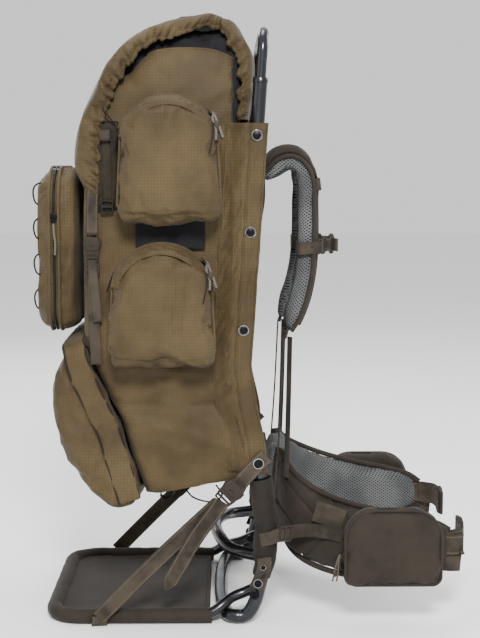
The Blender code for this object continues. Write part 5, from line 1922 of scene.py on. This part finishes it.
def make_lumbar():
    outline = rounded_outline((-0.079, 0.131), (0.079, 0.264), 0.020)
    pad = slab("lumbar", outline, 0.0285, 0.0495, "Y", SPACER, 0.007)
    inflated(pad, 0.005, 4.0, 0.005)
    fit(pad, "pack", ["lumbar_pad"])


def wing_form():
    """The padded wing as a closed loop round its length, thinner at the rims."""
    ends = [[Vector((x, y, low)), Vector((x, y, high))] for x, y, low, high in WING_LINE]
    stations = smooth_rows(ends, 7)
    last = len(stations) - 1
    face = ((0.03, 0.75), (0.2, 1.0), (0.5, 1.0), (0.8, 1.0), (0.97, 0.75))
    loop = ((0.0, -0.15), *face, (1.0, -0.15), *[(share, -push) for share, push in reversed(face)])
    rows = []
    for i, (low, high) in enumerate(stations):
        along = (stations[min(i + 1, last)][0] - stations[max(i - 1, 0)][0]).normalized()
        out = Vector((along.y, -along.x, 0.0))
        half = WING_THICKNESS / 2 * (0.55 + 0.45 * ease(i / last, 1.0, 0.86)) - 0.003
        rows.append([low.lerp(high, share) + out * half * push for share, push in loop])
    return grid_object("wing", rows, PACKCLOTH, closed=True, caps=True)


def make_belt_wings():
    """The padded hip wings, stitched outside and meshed inside, bound at the rims."""
    wing = wing_form()
    inflated(wing, 0.0055, 4.0, 0.006)

    def outside(p, n):
        return n.x > 0.15 or (p.y < 0.10 and n.y < -0.2)

    def folds(p, n):
        rim = ease(p.z, 0.085, 0.11) * ease(p.z, 0.25, 0.21) * ease(p.y, 0.17, 0.14)
        first = abs(math.fmod(p.y + 0.9 * abs(p.z - 0.150) + 1.0, 0.052) - 0.026)
        stitched = -0.0032 * ease(first, 0.005, 0.0) * rim if outside(p, n) else 0.0
        return stitched + 0.0010 * crease(p, (0.05, 0.03, 0.03), 41.0)

    pushed(wing, folds)
    wing.data.materials.append(SPACER)
    for face in wing.data.polygons:
        if not outside(face.center, face.normal):
            face.material_index = 1
    wing.name = "belt_pad_right"
    pair = (wing, mirrored("belt_pad_left", wing))
    for piece, (label, side) in zip(pair, SIDES):
        bent(piece)
        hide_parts("belt_wing_" + label)
        for name, which, lift in (("top", 3, -0.0022), ("bottom", 2, 0.0022)):
            rim = [Vector((side * s[0], s[1], s[which] + lift)) for s in WING_LINE]
            edge = swept(
                f"belt_binding_{name}_{label}", smooth_line(rim, 7), ring_section(0.0046, 10), PACKCLOTH
            )
            bent(edge)


def make_belt_pockets():
    """The zipped pocket on each belt wing, with its piping, slider, pulls and knot."""
    rear, front = BELT_POCKET["rear"], BELT_POCKET["front"]
    low, high = BELT_POCKET["bottom"], BELT_POCKET["top"]
    corners = (0.014, 0.014, 0.046, 0.046)
    inset = 0.0005
    outline = rounded_outline((rear + inset, low + inset), (front - inset, high - inset), corners, 8)
    body = slab("belt_pouch", outline, BELT_POCKET_X[0] - 0.003, BELT_POCKET_X[1] - 0.004, "X", PACKCLOTH)
    inflated(body, 0.0045, 4.0, 0.0055, slack=0.03, held=lambda p: ease(p.x, 0.200, 0.194))

    def folds(p, n):
        size = 0.0016 * crease(p, (0.04, 0.05, 0.03), 51.0)
        return size + 0.0024 * slanted(p, 35, (0.05, 0.016), 53.0) * ease(p.z, 0.115, 0.085)

    pushed(body, folds)
    for piece in both_sides("belt_pouch", body, "belt_{}", ["belt_pocket_{}"]):
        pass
    inset = 0.001
    outline = rounded_outline((rear + inset, low + inset), (front - inset, high - inset), corners, 10)
    trim = []
    for x, size, finish in (
        (0.2190, 0.0022, PACKCLOTH), (0.2030, 0.0016, PACKCLOTH), (0.2085, 0.0014, BLACK_PLASTIC)
    ):
        arch = [Vector((x, y, z)) for y, z in outline[10:] + outline[:1]]
        trim.append(swept("piping", even_line(arch, 0.004), ring_section(size, 8), finish))
    both_sides("belt_piping", joined("belt_piping", *trim), "belt_{}")
    profile = ((-0.005, 0.001), (-0.0035, 0.0026), (0.0, 0.0032), (0.0035, 0.0026), (0.005, 0.001))
    for label, side in SIDES:
        tab = slider("belt_slider_" + label, (side * 0.208, rear - 0.0006, 0.104), -Y_AXIS, Z_AXIS)
        fit(tab, "belt_zip_" + label, ["zip_slider_belt_" + label])
        start = Vector((side * 0.2085, rear - 0.005, 0.116))
        for number, lean in enumerate((0.0, 0.006), 1):
            pull = [(0.0, 0.0, 0.0), (0.006, -0.003, 0.006), (0.009, -0.008 + lean / 2, -0.006)]
            pull += [(0.008, -0.012 + lean, -0.024), (0.007, -0.014 + lean, -0.036)]
            points = [start + p for p in sided(side, *pull)]
            name = f"belt_pull_{number}_{label}"
            free_cord(name, points, 0.0014, CORD_BROWN, "belt_zip_" + label)
        spot = start + Vector((side * 0.0075, -0.010, -0.024))
        knot = turned("belt_knot_" + label, profile, CORD_BROWN, (0, -0.2, -0.98), spot, steps=12)
        fit(knot, "belt_zip_" + label)


def make_belt_webbing():
    """The belt's own webbing, folded back at each clip, with its keepers and tails."""
    line = [(x, y, BELT_WEB_Z) for x, y in ((0.1745, 0.296), (0.1690, 0.3150), *BELT_WEB_LINE)]
    path = smooth_line(line, 6)
    web = strap("belt_web", path, Z_AXIS, BELT_WEB_WIDTH, 0.0024, STRAP_SEWN)
    both_sides("belt_web", web, "belt_{}", ["belt_buckle_{}"])
    inner = [p + Vector((-0.0045, -0.0035, 0.0)) for p in path[6:]]
    fold = strap("belt_fold", inner, Z_AXIS, BELT_WEB_WIDTH - 0.002, 0.0022, STRAP)
    both_sides("belt_web_fold", fold, "belt_{}")
    clip = buckle("belt_clip", (0.101, 0.3395, BELT_WEB_Z), -Z_AXIS, X_AXIS, Y_AXIS, width=BELT_WEB_WIDTH)
    both_sides("belt_clip", clip, "belt_{}")
    loop = [(0.1790, 0.300, 0.128), (0.1785, 0.318, 0.127), (0.1700, 0.3330, 0.126)]
    loop += [(0.1720, 0.3200, 0.122), (0.1740, 0.312, 0.112)]
    keeper = strap("belt_keeper", smooth_line(loop, 6), (0, 0.1, 1), 0.034, 0.0022, STRAP_SEWN)
    both_sides("belt_keeper", keeper, "belt_{}")
    hang = [(0.1760, 0.298, 0.098), (0.1765, 0.308, 0.097), (0.1740, 0.322, 0.096), (0.1690, 0.331, 0.095)]
    tail = strap("belt_tail", smooth_line(hang, 6), (0, 0.05, 1), 0.026, 0.0020, STRAP)
    both_sides("belt_tail", tail, "belt_{}")


def make_stabilisers():
    """Webbing that pulls the belt wings in to the frame, its keeper, and the patch on each wing."""
    line = ((0.1935, 0.010, 0.140), (0.1960, 0.026, 0.144), (0.1955, 0.046, 0.151))
    line += ((0.1925, 0.080, 0.156), (0.1915, 0.112, 0.153), (0.1940, 0.140, 0.147))
    patch = ((0.1885, 0.096, 0.186), (0.1920, 0.118, 0.180), (0.1940, 0.142, 0.172))
    for label, side in SIDES:
        body = "belt_" + label
        path = smooth_line(sided(side, *line), 8)
        web = strap("stabiliser_" + label, path, (0, 0.12, 1), 0.022, 0.0018, STRAP)
        bent(web)
        axes = ((0, 0.05, 1), (0, 1, 0.05), (side, 0, 0))
        lock = ladder("stabiliser_lock_" + label, (side * 0.1975, 0.050, 0.152), *axes, width=0.020)
        bent(lock)
        sewn("wing_patch_" + label, body, sided(side, *patch), (0, 0.45, 1), 0.034, 0.0022, STRAP)


def main():
    make_camera()
    make_studio()
    make_uprights()
    make_bars()
    make_top_hoop()
    make_pins()
    make_sleeves()
    make_shelf()
    make_bag()
    make_collar()
    make_frame_flaps()
    make_hood()
    make_lid_straps()
    make_top_tab()
    make_side_pocket("upper", UPPER_POCKET)
    make_side_pocket("lower", LOWER_POCKET)
    make_side_panels()
    make_side_zips()
    make_front_pocket()
    make_bungees()
    make_bottom_pocket()
    make_shelf_straps()
    make_floor_loops()
    make_shoulder_pads()
    make_harness_panel()
    make_lower_webs()
    make_sternum()
    make_lumbar()
    make_belt_wings()
    make_belt_pockets()
    make_belt_webbing()
    make_stabilisers()


main()
